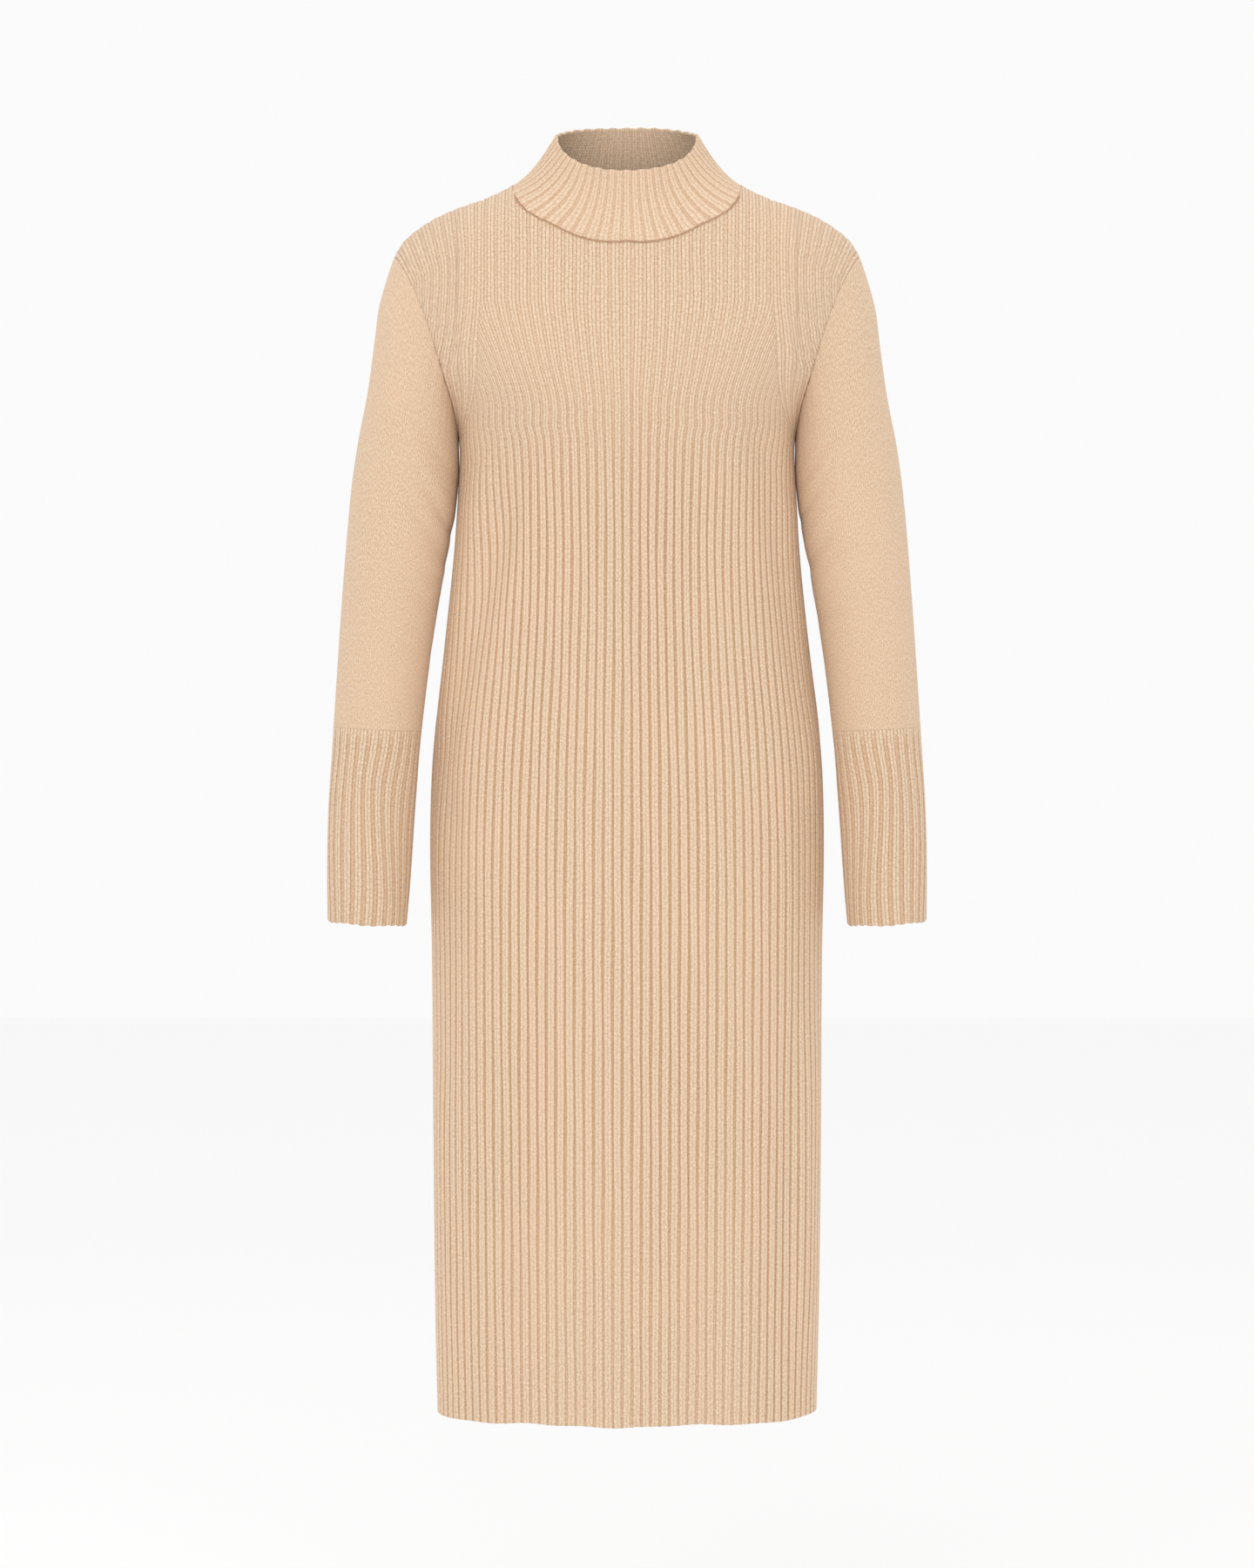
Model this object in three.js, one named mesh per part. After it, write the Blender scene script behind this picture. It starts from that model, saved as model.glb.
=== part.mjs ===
// Midi-length ribbed sweater dress with a funnel collar, long plain-knit sleeves and deep ribbed cuffs.
// It keeps the hollow form that it has when worn, and each knitted panel is a wall of cloth of its own.
// Millimetres, +Z up, the front faces -Y. The origin lies midway between the two high shoulder points,
// where the cloth rests on the wearer's shoulders beside the neck.
import * as THREE from "three";

// Driving sizes
const BODY_LENGTH = 1106; // high shoulder point down to the hem
const UNDERARM_DROP = 222; // high shoulder point down to the bottom of the armhole
const SLEEVE_DROP = 483; // high shoulder point down to the seam between sleeve and cuff
const CUFF_LENGTH = 175;
const COLLAR_RIM = { halfWidth: 64, front: 58, back: 60, frontHeight: 17, backHeight: 64 };
const SEAM_GAP = 0.3; // clearance between two pieces at a seam

// Cloth
const RIB_WALL = 3; // ribbed cloth at the crown of a rib
const RIB_RISE = 1.3; // how far a rib's crown stands above its furrow
const PLAIN_WALL = 2.2; // plain knit of the sleeves
const CUFF_RISE = 1.2; // the same on the cuffs
const RIB_COLOUR = 0xe1c3a3;
const PLAIN_COLOUR = 0xe3c6a7;
const ROUGHNESS = 0.92; // of both finishes, a matt yarn

// Ribs, counted from the centre line to one edge of a panel
const BODY_RIBS = 23; // from the centre to the fashioned line beside the armhole, at the underarm
const CHEST_RIBS = 13; // the same at the chest, above where the fashioned line starts
const BAND_RIBS = 3; // between the fashioned line and the side seam
const SHOULDER_BAND_RIBS = 8; // between that line and the sleeve, at the shoulder
const NECK_RIBS = 10; // ribs that end in the neckline on each side of the centre
const CUFF_RIBS = 24; // all round
const COLLAR_RIBS = 60; // all round

// Levels of a panel: -1 is the hem, 0 the underarm, 1 the neckline and the shoulder seam.
const FASHION_TOP = 0.51; // level where the fashioned line starts
const NECK_LEVEL = 0.9; // from here up the ribs divide the neckline and the shoulder evenly
const FASHION_CURVE = 1.45; // the ribs start closer together towards the underarm
const BAND_LOW = 0.246; // from here up the armhole's edge cuts off ribs of the band
const BAND_TOP = 0.575; // and from here up the band has all of them

// The body's outline. Each section is rounded like an ellipse with this exponent.
const SECTION_ROUND = 2.1;
const BODY_SECTIONS = [
  { z: -BODY_LENGTH, halfWidth: 173, front: 96, back: 100 },
  { z: -1008, halfWidth: 175, front: 97, back: 102 },
  { z: -850, halfWidth: 176.5, front: 98, back: 106 },
  { z: -692, halfWidth: 177.5, front: 98, back: 111 },
  { z: -581, halfWidth: 179, front: 94, back: 113 },
  { z: -502, halfWidth: 176, front: 89, back: 107 },
  { z: -408, halfWidth: 164.5, front: 86, back: 93 },
  { z: -329, halfWidth: 156.5, front: 88, back: 88 },
  { z: -265, halfWidth: 153, front: 98, back: 93 },
  { z: -UNDERARM_DROP, halfWidth: 152.5, front: 106, back: 98 },
  { z: -190, halfWidth: 165, front: 110, back: 101 },
  { z: -155, halfWidth: 190, front: 108, back: 103 },
  { z: -105, halfWidth: 218, front: 97, back: 100 },
  { z: -62, halfWidth: 225, front: 84, back: 90 },
  { z: -20, halfWidth: 226, front: 74, back: 76 },
  { z: 30, halfWidth: 226, front: 66, back: 64 },
];

// Top of the shoulder: its height at a distance x from the centre. Inside the neck it only guides the cloth.
const SHOULDER_RIDGE = [
  { x: 0, z: 30 },
  { x: 50, z: 22.5 },
  { x: 90, z: 13.5 },
  { x: 103.5, z: 7.6 },
  { x: 113, z: 2.4 },
  { x: 124, z: -2.6 },
  { x: 138, z: -7.8 },
  { x: 151, z: -12.4 },
  { x: 163, z: -17.2 },
  { x: 175, z: -23 },
  { x: 188, z: -31.2 },
  { x: 200, z: -41 },
  { x: 207, z: -50.2 },
  { x: 211, z: -58 },
];
const ARCH_HEIGHT = 50; // the cloth starts to round over the shoulder this far below the ridge
const STRAIGHT_UNIT = 100; // below the arch, one station is this long
const NECK_HALF_WIDTH = 103.5; // the neckline's corner beside the neck
const SEAM_STATION = 0.16; // the shoulder seam lies a little behind the ridge

// The neckline's stations, front and back, by the share of its depth: 0 at the shoulder, 1 at the centre.
const NECKLINE = [
  { share: 0, front: SEAM_STATION, back: SEAM_STATION },
  { share: 0.15, front: -0.34, back: 0.29 },
  { share: 0.415, front: -0.69, back: 0.49 },
  { share: 0.655, front: -0.905, back: 0.68 },
  { share: 0.8, front: -1.04, back: 0.79 },
  { share: 1, front: -1.265, back: 0.93 },
];

// Edge of the armhole and the fashioned line beside it, at each level above the underarm.
const ARMHOLE = [
  { level: 0, edge: 152.5, line: 148 },
  { level: 0.06, edge: 153.2, line: 144.5 },
  { level: 0.12, edge: 155, line: 139.5 },
  { level: 0.2, edge: 158.5, line: 136 },
  { level: 0.32, edge: 166, line: 134 },
  { level: 0.415, edge: 173, line: 132 },
  { level: 0.48, edge: 178, line: 131 },
  { level: 0.63, edge: 191, line: 131 },
  { level: 0.77, edge: 202.5, line: 131 },
  { level: 0.9, edge: 209.5, line: 131 },
  { level: 1, edge: 211, line: 131 },
];
const GAUGE_RISE = 150; // ribs keep the spacing that they have this far above the underarm

// Soft folds of the body: ridges (depth above 0) and troughs that run from one place to another.
const FOLDS = [
  { side: -1, x1: -122, z1: -285, x2: -163, z2: -500, width: 15, depth: -4.5 },
  { side: -1, x1: -141, z1: -300, x2: -172, z2: -470, width: 12, depth: 2.5 },
  { side: -1, x1: 128, z1: -270, x2: 158, z2: -440, width: 15, depth: -3.5 },
  { side: -1, x1: 162, z1: -800, x2: 156, z2: -1000, width: 12, depth: -3 },
  { side: -1, x1: -160, z1: -560, x2: -164, z2: -760, width: 14, depth: -2.5 },
  { side: 1, x1: -60, z1: -330, x2: -120, z2: -470, width: 24, depth: -5 },
  { side: 1, x1: 70, z1: -350, x2: 128, z2: -480, width: 22, depth: -4 },
  { side: 1, x1: -20, z1: -640, x2: -34, z2: -1080, width: 30, depth: -5 },
  { side: 1, x1: 84, z1: -700, x2: 96, z2: -1090, width: 26, depth: 4 },
];
const FOLD_FADE = 60; // a fold dies out over this length past its ends

// Sleeve: its outer and inner edges as seen from the front, by height.
const SLEEVE_OUTER = [
  { z: -60.5, x: 211.3 },
  { z: -84, x: 219.2 },
  { z: -107, x: 225.4 },
  { z: -131, x: 228.4 },
  { z: -178, x: 234.6 },
  { z: -226, x: 243.8 },
  { z: -273, x: 250.2 },
  { z: -345, x: 256.4 },
  { z: -440, x: 262.9 },
  { z: -534, x: 268.4 },
  { z: -605, x: 270.8 },
  { z: -660, x: 271.2 },
];
const SLEEVE_INNER = [
  { z: -UNDERARM_DROP, x: 153.4 },
  { z: -250, x: 154.6 },
  { z: -275, x: 156 },
  { z: -297, x: 158.8 },
  { z: -345, x: 167.5 },
  { z: -415, x: 177.4 },
  { z: -487, x: 186 },
  { z: -558, x: 192.4 },
  { z: -629, x: 196.3 },
  { z: -660, x: 198.5 },
];
// Half-depth of the sleeve and how far it hangs forward, along its length: 0 is the armhole, 1 the cuff.
const SLEEVE_DEPTH = [
  { share: 0, halfDepth: 64, forward: 0 },
  { share: 0.2, halfDepth: 60, forward: 0 },
  { share: 0.5, halfDepth: 54, forward: 4 },
  { share: 0.8, halfDepth: 47, forward: 11 },
  { share: 1, halfDepth: 43, forward: 17 },
  { share: 1.42, halfDepth: 38, forward: 31 },
];
const SLEEVE_RINGS = [0, 0.035, 0.1, 0.18, 0.27, 0.38, 0.5, 0.63, 0.76, 0.88, 1];
const CAP_FADE = 0.3; // the armhole's own shape has gone this far down the sleeve
const CUFF_RINGS = [0, 0.33, 0.67, 1];

// The collar leans in from the neckline to its rim. The hollow of its profile is deepest between the front
// and the side, where `corner` adds to it.
const COLLAR_RINGS = [0, 0.12, 0.28, 0.5, 0.75, 1];
const COLLAR_HOLLOW = { front: 8, corner: 4, side: 5.2, back: 3 };
const HOLLOW_LOW = 0.66; // exponent that lays the hollow of the sides nearer to the neckline
const RIM_DIP = 0.9; // exponent of the rim's dip at the front
const RIM_LEAN = 0.45; // the share of its fall that is even from the back to the front

// How finely the surfaces are divided
const LEVELS = [
  -1, -0.82, -0.66, -0.52, -0.4, -0.31, -0.24, -0.17, -0.1, -0.05, 0,
  0.06, 0.13, 0.2, 0.26, 0.32, 0.37, 0.415, FASHION_TOP, 0.6, 0.7, 0.8, NECK_LEVEL, 0.95, 1,
];
const INNER_COLUMNS = 12; // on each side of the centre line
const SLEEVE_COLUMNS = 24;
const COLLAR_INNER_COLUMNS = 40;
const CORNER_RIBS = [NECK_RIBS - 0.25, NECK_RIBS - 0.1, NECK_RIBS - 0.03]; // beside the neckline's corner
const BAND_KEY = 40; // the band's vertices are numbered from here, past those of the body
const RIB_MARGIN = 0.2; // a rib that is born this near to a line has no vertex of its own yet
const EDGE_CALM = 8; // folds flatten out this far from a seam
const GAUGE_STEPS = 40;
const SMOOTH_STEPS = [-1, -0.67, -0.33, 0, 0.33, 0.67, 1];
const SMOOTH_REACH = 26;
const NORMAL_STEP = 0.004;
const X_STEP = 0.1;
const STATION_STEP = 0.01;
const SLEEVE_STEP = 0.02;
const SHARP_CREASE = 1.2; // two pieces fold back on each other when their directions add up to more
const MOST_REACH = 1.4;
const CUFF_TILT = 2; // half of the height difference between the outer and inner end of the cuff seam
const CUFF_SHARE = 0.42; // the cuff's length against the sleeve's, in the sleeve's own measure
const SEAM_LOOK = 0.05; // how far into the second piece its direction at the seam is measured
const INTO_STEPS = 5; // and how many columns into the first
const NECK_FRONT_REACH = 80; // the neckline's reach from the middle plane
const NECK_BACK_REACH = 73;

// A table row worked out at a place between the given ones, on a smooth curve through them.
function readTable(table, column, at) {
  const place = THREE.MathUtils.clamp(at, table[0][column], table[table.length - 1][column]);
  let i = table.findIndex((row) => place <= row[column]);
  i = Math.max(i - 1, 0);
  const span = table[i + 1][column] - table[i][column];
  const t = (place - table[i][column]) / span;
  const slope = (n, name) => {
    const before = table[Math.max(n - 1, 0)];
    const after = table[Math.min(n + 1, table.length - 1)];
    return (after[name] - before[name]) / (after[column] - before[column]);
  };
  const share = t * t * (3 - 2 * t);
  const read = {};
  for (const name of Object.keys(table[i])) {
    const rise = slope(i, name) * span;
    const fall = slope(i + 1, name) * span;
    read[name] = mix(table[i][name], table[i + 1][name], share) + t * (1 - t) * ((1 - t) * rise - t * fall);
  }
  return read;
}

// Tables that are listed from the top down are read the other way round.
const sleeveOuter = [...SLEEVE_OUTER].reverse();
const sleeveInner = [...SLEEVE_INNER].reverse();

const UNDERARM = -UNDERARM_DROP;
const LOWER_HEIGHT = BODY_LENGTH - UNDERARM_DROP;
const FULL_TURN = 2 * Math.PI;
const BELOW = new THREE.Vector3(0, 0, -1);
const QUARTER_TURN = Math.PI / 2;

const mix = (a, b, t) => a + (b - a) * t;

// A value read off a list of marks, straight between them.
function readMarks(marks, from, to, value) {
  let i = marks.findIndex((mark) => value <= mark[from]);
  if (i < 0) i = marks.length - 1;
  i = Math.max(i, 1);
  const a = marks[i - 1];
  const b = marks[i];
  const t = THREE.MathUtils.clamp((value - a[from]) / (b[from] - a[from]), 0, 1);
  return mix(a[to], b[to], t);
}

// How far the cloth stands off the middle plane, on the front (side -1) or the back (side 1).
function depthAt(side, x, z) {
  const section = readTable(BODY_SECTIONS, "z", z);
  const reach = side < 0 ? section.front : section.back;
  const share = Math.min(Math.abs(x) / section.halfWidth, 1);
  return reach * Math.pow(1 - Math.pow(share, SECTION_ROUND), 1 / SECTION_ROUND);
}

function ridgeAt(x) {
  return readTable(SHOULDER_RIDGE, "x", Math.abs(x)).z;
}

// Stations count along the cloth in a plane of constant x: 0 on the ridge, -1 and 1 where the arch ends at
// the front and the back, and beyond that one for each STRAIGHT_UNIT.
function stationPoint(x, station) {
  const side = station < 0 ? -1 : 1;
  const away = Math.abs(station);
  const turn = Math.min(away, 1) * QUARTER_TURN;
  const drop = ARCH_HEIGHT * (1 - Math.cos(turn)) + Math.max(away - 1, 0) * STRAIGHT_UNIT;
  const z = ridgeAt(x) - drop;
  return new THREE.Vector3(x, side * depthAt(side, x, z) * Math.sin(turn), z);
}

function stationAtHeight(side, x, z) {
  const drop = ridgeAt(x) - z;
  if (drop < ARCH_HEIGHT) return (side * Math.acos(1 - drop / ARCH_HEIGHT)) / QUARTER_TURN;
  return side * (1 + (drop - ARCH_HEIGHT) / STRAIGHT_UNIT);
}

// Height of the section whose girth spaces the ribs at a level.
function gaugeHeight(level) {
  return level <= 0 ? UNDERARM + level * LOWER_HEIGHT : UNDERARM + Math.min(level * 2, 1) * GAUGE_RISE;
}

function edgeAt(level) {
  if (level > 0) return readTable(ARMHOLE, "level", level).edge;
  return readTable(BODY_SECTIONS, "z", UNDERARM + level * LOWER_HEIGHT).halfWidth;
}

// Distances along the gauge section from the centre line, against x.
function gaugeMarks(side, level) {
  const z = gaugeHeight(level);
  const edge = edgeAt(level);
  const marks = [{ x: 0, y: depthAt(side, 0, z), distance: 0 }];
  for (let i = 1; i <= GAUGE_STEPS; i++) {
    const before = marks[i - 1];
    const x = edge * Math.sin((i / GAUGE_STEPS) * QUARTER_TURN);
    const y = depthAt(side, x, z);
    marks.push({ x, y, distance: before.distance + Math.hypot(x - before.x, y - before.y) });
  }
  return marks;
}

// Ribs between the centre and the fashioned line at a level, and between that line and the edge.
function ribCounts(level) {
  if (level <= 0) return { body: BODY_RIBS, band: BAND_RIBS };
  const below = Math.max(FASHION_TOP - level, 0) / FASHION_TOP;
  const above = THREE.MathUtils.clamp((level - BAND_LOW) / (BAND_TOP - BAND_LOW), 0, 1);
  return {
    body: mix(CHEST_RIBS, BODY_RIBS, Math.pow(below, FASHION_CURVE)),
    band: mix(BAND_RIBS, SHOULDER_BAND_RIBS, above),
  };
}

// Where a panel ends at the side seam: half a seam's gap short of the widest point.
function sideSeam(side, level) {
  const section = readTable(BODY_SECTIONS, "z", UNDERARM + level * LOWER_HEIGHT);
  const offset = SEAM_GAP / 2 / (side < 0 ? section.front : section.back);
  return section.halfWidth * Math.pow(1 - Math.pow(offset, SECTION_ROUND), 1 / SECTION_ROUND);
}

// Where the ribs of one half of a row lie: x for a rib number, in the body and in the band beside it.
function ribPlaces(side, level) {
  const counts = ribCounts(level);
  const marks = gaugeMarks(side, level);
  const total = marks[GAUGE_STEPS].distance;
  const xAt = (distance) => readMarks(marks, "distance", "x", distance);
  const line =
    level <= 0
      ? (total * BODY_RIBS) / (BODY_RIBS + BAND_RIBS)
      : readMarks(marks, "x", "distance", readTable(ARMHOLE, "level", level).line);
  const seam = level <= 0 ? sideSeam(side, level) : edgeAt(level);
  const band = (rib) => Math.min(xAt(mix(line, total, rib / counts.band)), seam);
  const shoulder = (rib) => mix(NECK_HALF_WIDTH, xAt(line), (rib - NECK_RIBS) / (CHEST_RIBS - NECK_RIBS));
  const atTop = (rib) => (rib <= NECK_RIBS ? (NECK_HALF_WIDTH * rib) / NECK_RIBS : shoulder(rib));
  const gather = THREE.MathUtils.smoothstep(level, FASHION_TOP, NECK_LEVEL);
  const body = (rib) => mix(xAt((line * rib) / counts.body), atTop(rib), gather);
  return { counts, body, band };
}

// Station where a panel ends at the top: in the neckline, or at the shoulder seam.
function topLine(side, x) {
  const across = Math.min(Math.abs(x) / NECK_HALF_WIDTH, 1);
  const row = readTable(NECKLINE, "share", Math.sqrt(1 - across * across));
  const halfGap = SEAM_GAP / 2 / (ARCH_HEIGHT * QUARTER_TURN);
  return side < 0 ? row.front - halfGap : row.back + halfGap;
}

// The levels lead up to that line by way of a smoother one, which rounds off the neckline's corner.
function topStation(side, level, x) {
  const steps = SMOOTH_STEPS.map((step) => topLine(side, x + step * SMOOTH_REACH));
  const smooth = steps.reduce((sum, station) => sum + station, 0) / steps.length;
  return mix(smooth, topLine(side, x), Math.max(level - NECK_LEVEL, 0) / (1 - NECK_LEVEL));
}

// Station of a level above the underarm: levels are even along the cloth, in a plane of constant x.
function stationAtLevel(side, level, x) {
  const start = stationAtHeight(side, x, UNDERARM);
  const end = topStation(side, level, x);
  let last = stationPoint(x, start);
  const marks = [{ station: start, distance: 0 }];
  for (let i = 1; i <= GAUGE_STEPS; i++) {
    const station = mix(start, end, i / GAUGE_STEPS);
    const point = stationPoint(x, station);
    marks.push({ station, distance: marks[i - 1].distance + point.distanceTo(last) });
    last = point;
  }
  return readMarks(marks, "distance", "station", marks[GAUGE_STEPS].distance * level);
}

// A point of a panel's crown surface.
function panelPoint(side, level, x) {
  if (level > 0) return stationPoint(x, stationAtLevel(side, level, x));
  const z = UNDERARM + level * LOWER_HEIGHT;
  return new THREE.Vector3(x, side * depthAt(side, x, z), z);
}

// Outward normal of a surface, from short steps along it in two directions.
function normalFrom(ahead, behind, above, below) {
  return ahead.sub(behind).cross(above.sub(below)).normalize();
}

function panelNormal(side, level, x) {
  if (level > 0) {
    const station = stationAtLevel(side, level, x);
    const at = (stepX, stepStation) => stationPoint(x + stepX, station + stepStation);
    return normalFrom(at(X_STEP, 0), at(-X_STEP, 0), at(0, STATION_STEP), at(0, -STATION_STEP));
  }
  const turn = Math.asin(THREE.MathUtils.clamp(x / edgeAt(level), -1, 1));
  const at = (stepTurn, stepLevel) => {
    const place = THREE.MathUtils.clamp(level + stepLevel, -1, 0);
    const bent = THREE.MathUtils.clamp(turn + stepTurn, -QUARTER_TURN, QUARTER_TURN);
    return panelPoint(side, place, edgeAt(place) * Math.sin(bent));
  };
  const tiny = NORMAL_STEP;
  const normal = normalFrom(at(tiny, 0), at(-tiny, 0), at(0, tiny), at(0, -tiny));
  return side < 0 ? normal : normal.negate();
}

// How far the folds lift the cloth at a place.
function foldAt(side, point) {
  let lift = 0;
  for (const fold of FOLDS.filter((each) => each.side === side)) {
    const run = fold.z2 - fold.z1;
    const along = (point.z - fold.z1) / run;
    const past = Math.max(-along, along - 1, 0) * Math.abs(run);
    const off = (point.x - mix(fold.x1, fold.x2, along)) / fold.width;
    lift += fold.depth * Math.exp(-off * off) * Math.exp(-Math.pow(past / FOLD_FADE, 2));
  }
  return lift;
}

// How far the surface lies below the crown at a rib number: whole numbers are crowns.
function furrow(rib, rise) {
  const phase = rib - Math.floor(rib);
  return rise * (1 - Math.abs(2 * phase - 1));
}

// A vertex of a panel: its place on the crown surface, its normal, and how far its rib has it sink.
function panelVertex(side, level, x, rib, key) {
  const edge = edgeAt(level);
  const point = panelPoint(side, level, x);
  const normal = panelNormal(side, level, x);
  const inside = THREE.MathUtils.smoothstep(edge - Math.abs(x), 0, EDGE_CALM);
  point.addScaledVector(normal, foldAt(side, point) * inside);
  return { key: Math.sign(x) * key, share: x / edge, point, normal, sink: furrow(rib, RIB_RISE) };
}

// One row of a panel from edge to edge. Each rib has a vertex in its furrow and one on its crown.
function panelRow(side, level) {
  const { counts, body, band } = ribPlaces(side, level);
  const half = [];
  const numbers = [];
  for (let rib = 0.5; rib < counts.body - RIB_MARGIN; rib += 0.5) numbers.push(rib);
  if (level >= NECK_LEVEL) numbers.push(...CORNER_RIBS);
  numbers.sort((a, b) => a - b);
  for (const rib of numbers) half.push({ x: body(rib), rib, key: rib });
  half.push({ x: body(counts.body), rib: 0, key: BAND_KEY });
  for (let rib = 0.5; rib < counts.band - RIB_MARGIN; rib += 0.5) {
    half.push({ x: band(rib), rib, key: BAND_KEY + rib });
  }
  half.push({ x: band(counts.band), rib: 0, key: BAND_KEY + counts.band });
  const left = half.map((v) => ({ ...v, x: -v.x })).reverse();
  const row = [...left, { x: 0, rib: 0, key: 0 }, ...half];
  return row.map((v) => panelVertex(side, level, v.x, v.rib, v.key));
}

// The plain inside of a panel has a few columns only.
function plainRow(side, level) {
  const edge = ribPlaces(side, level).band(ribCounts(level).band);
  const row = [];
  for (let i = -INNER_COLUMNS; i <= INNER_COLUMNS; i++) {
    row.push(panelVertex(side, level, edge * Math.sin((i / INNER_COLUMNS) * QUARTER_TURN), 0, 0));
  }
  return row;
}

// A closed body that is sewn together from rows of vertices.
class Wall {
  constructor() {
    this.positions = [];
    this.faces = [];
  }

  // Puts a row's vertices in place, moved along their normals by what `move` gives.
  lay(row, move) {
    return row.map((v) => {
      const place = v.point.clone().add(move(v));
      this.positions.push(place.x, place.y, place.z);
      return { key: v.key, share: v.share, index: this.positions.length / 3 - 1 };
    });
  }

  // Fills the strip between two rows, which are sorted by the named value. Ties below and above 0 are cut in
  // mirrored ways.
  zip(a, b, by) {
    let i = 0;
    let j = 0;
    while (i < a.length - 1 || j < b.length - 1) {
      const nextA = i < a.length - 1 ? a[i + 1][by] : Infinity;
      const nextB = j < b.length - 1 ? b[j + 1][by] : Infinity;
      if (nextA < nextB || (nextA === nextB && nextA > 0)) {
        this.faces.push(a[i].index, a[i + 1].index, b[j].index);
        i += 1;
      } else {
        this.faces.push(a[i].index, b[j + 1].index, b[j].index);
        j += 1;
      }
    }
  }

  // Closes the two ends of a strip of rows: each inner row's first and last vertex meets the outer row's.
  closeEdges(outer, inner) {
    for (let k = 0; k < outer.length - 1; k++) {
      const [a, b, c, d] = [outer[k], outer[k + 1], inner[k + 1], inner[k]].map((row) => row[0].index);
      this.faces.push(a, b, c, a, c, d);
      const [p, q, r, s] = [outer[k], outer[k + 1], inner[k + 1], inner[k]].map((row) => row.at(-1).index);
      this.faces.push(q, p, s, q, s, r);
    }
  }

  // A ring is a row whose last vertex is its first one again, a full turn on.
  ring(row, move) {
    const laid = this.lay(row, move);
    return [...laid, { ...laid[0], key: laid[0].key + FULL_TURN }];
  }

  geometry(inverted, mirrored) {
    const faces = [...this.faces];
    const flip = mirrored ? -1 : 1;
    const positions = this.positions.map((value, i) => (i % 3 === 0 ? flip * value : value));
    if (inverted) {
      for (let i = 0; i < faces.length; i += 3) [faces[i + 1], faces[i + 2]] = [faces[i + 2], faces[i + 1]];
    }
    const geometry = new THREE.BufferGeometry();
    geometry.setAttribute("position", new THREE.Float32BufferAttribute(positions, 3));
    geometry.setIndex(faces);
    geometry.computeVertexNormals();
    return geometry;
  }
}

// Where two pieces meet, both end in the same slanting face. `normal` leads from the inside of the seam to
// its outside, `across` from the first piece to the second, and `reach` is how much longer than the wall's
// thickness that face is.
function seamFrame(along, normalFirst, intoFirst, awaySecond) {
  const tangent = along.clone().normalize();
  const first = normalFirst.clone().cross(tangent).normalize();
  if (first.dot(intoFirst) < 0) first.negate();
  const second = awaySecond.clone().addScaledVector(tangent, -awaySecond.dot(tangent)).normalize();
  const fold = first.clone().add(second);
  const normal = first.clone().sub(second).cross(tangent).normalize();
  if (fold.length() > SHARP_CREASE) normal.copy(fold).normalize();
  else if (normal.dot(normalFirst) < 0) normal.negate();
  const across = normal.clone().cross(tangent).normalize();
  if (across.dot(second.clone().sub(first)) < 0) across.negate();
  const reach = Math.min(1 / Math.max(normal.dot(normalFirst), 1 / MOST_REACH), MOST_REACH);
  return { normal, across, reach };
}

// The rows of a panel, with the directions of its seams set on its top row and its edges.
function panelRows(side) {
  const outer = LEVELS.map((level) => panelRow(side, level));
  const inner = LEVELS.slice(0, -1).map((level) => plainRow(side, level));
  return { outer, inner: [...inner, outer.at(-1)] };
}

// The armhole's loop on the +x side: up the front's edge and down the back's.
function armholeLoop(front, back) {
  const first = LEVELS.indexOf(0);
  const edge = (rows) =>
    rows.outer.slice(first).map((row, k) => {
      const last = row.at(-1);
      const inward = row.at(-INTO_STEPS).point.clone().sub(last.point);
      return { ...last, source: last, into: k === 0 ? BELOW : inward };
    });
  const up = edge(front);
  const down = edge(back);
  return keyLoop([...up, ...down.reverse()], up.length);
}

// Keys round the sleeve: -half a turn at the underarm, 0 at the shoulder.
function keyLoop(loop, count) {
  const lengths = [0];
  for (let i = 1; i < loop.length; i++) {
    const step = loop[i].point.distanceTo(loop[i - 1].point);
    lengths.push(lengths[i - 1] + step);
  }
  const top = (lengths[count - 1] + lengths[count]) / 2;
  const end = lengths.at(-1) + SEAM_GAP;
  return loop.map((v, i) => {
    const share = lengths[i] < top ? lengths[i] / top - 1 : (lengths[i] - top) / (end - top);
    return { ...v, key: share * Math.PI };
  });
}

// The ends of a sleeve's section: its highest point on the outside and its lowest point on the inside.
function sleeveEnds(share) {
  const past = Math.max(share - 1, 0) / CUFF_SHARE;
  const t = Math.min(share, 1);
  const zOut = mix(SLEEVE_OUTER[0].z, -SLEEVE_DROP + CUFF_TILT, t) - past * CUFF_LENGTH;
  const zIn = mix(UNDERARM, -SLEEVE_DROP - CUFF_TILT, t) - past * CUFF_LENGTH;
  const forward = readTable(SLEEVE_DEPTH, "share", share).forward;
  const outer = new THREE.Vector3(readTable(sleeveOuter, "z", zOut).x, -forward, zOut);
  const inner = new THREE.Vector3(readTable(sleeveInner, "z", zIn).x, -forward, zIn);
  return { outer, inner };
}

// A point of a sleeve's plain section: key 0 is its outer end, and the front has keys below 0.
function sleeveSection(share, key) {
  const { outer, inner } = sleeveEnds(share);
  const halfDepth = readTable(SLEEVE_DEPTH, "share", share).halfDepth;
  const centre = outer.clone().add(inner).multiplyScalar(0.5);
  const reach = outer.sub(inner).multiplyScalar(0.5);
  const point = centre.addScaledVector(reach, Math.cos(key));
  point.y += halfDepth * Math.sin(key);
  return point;
}

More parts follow.
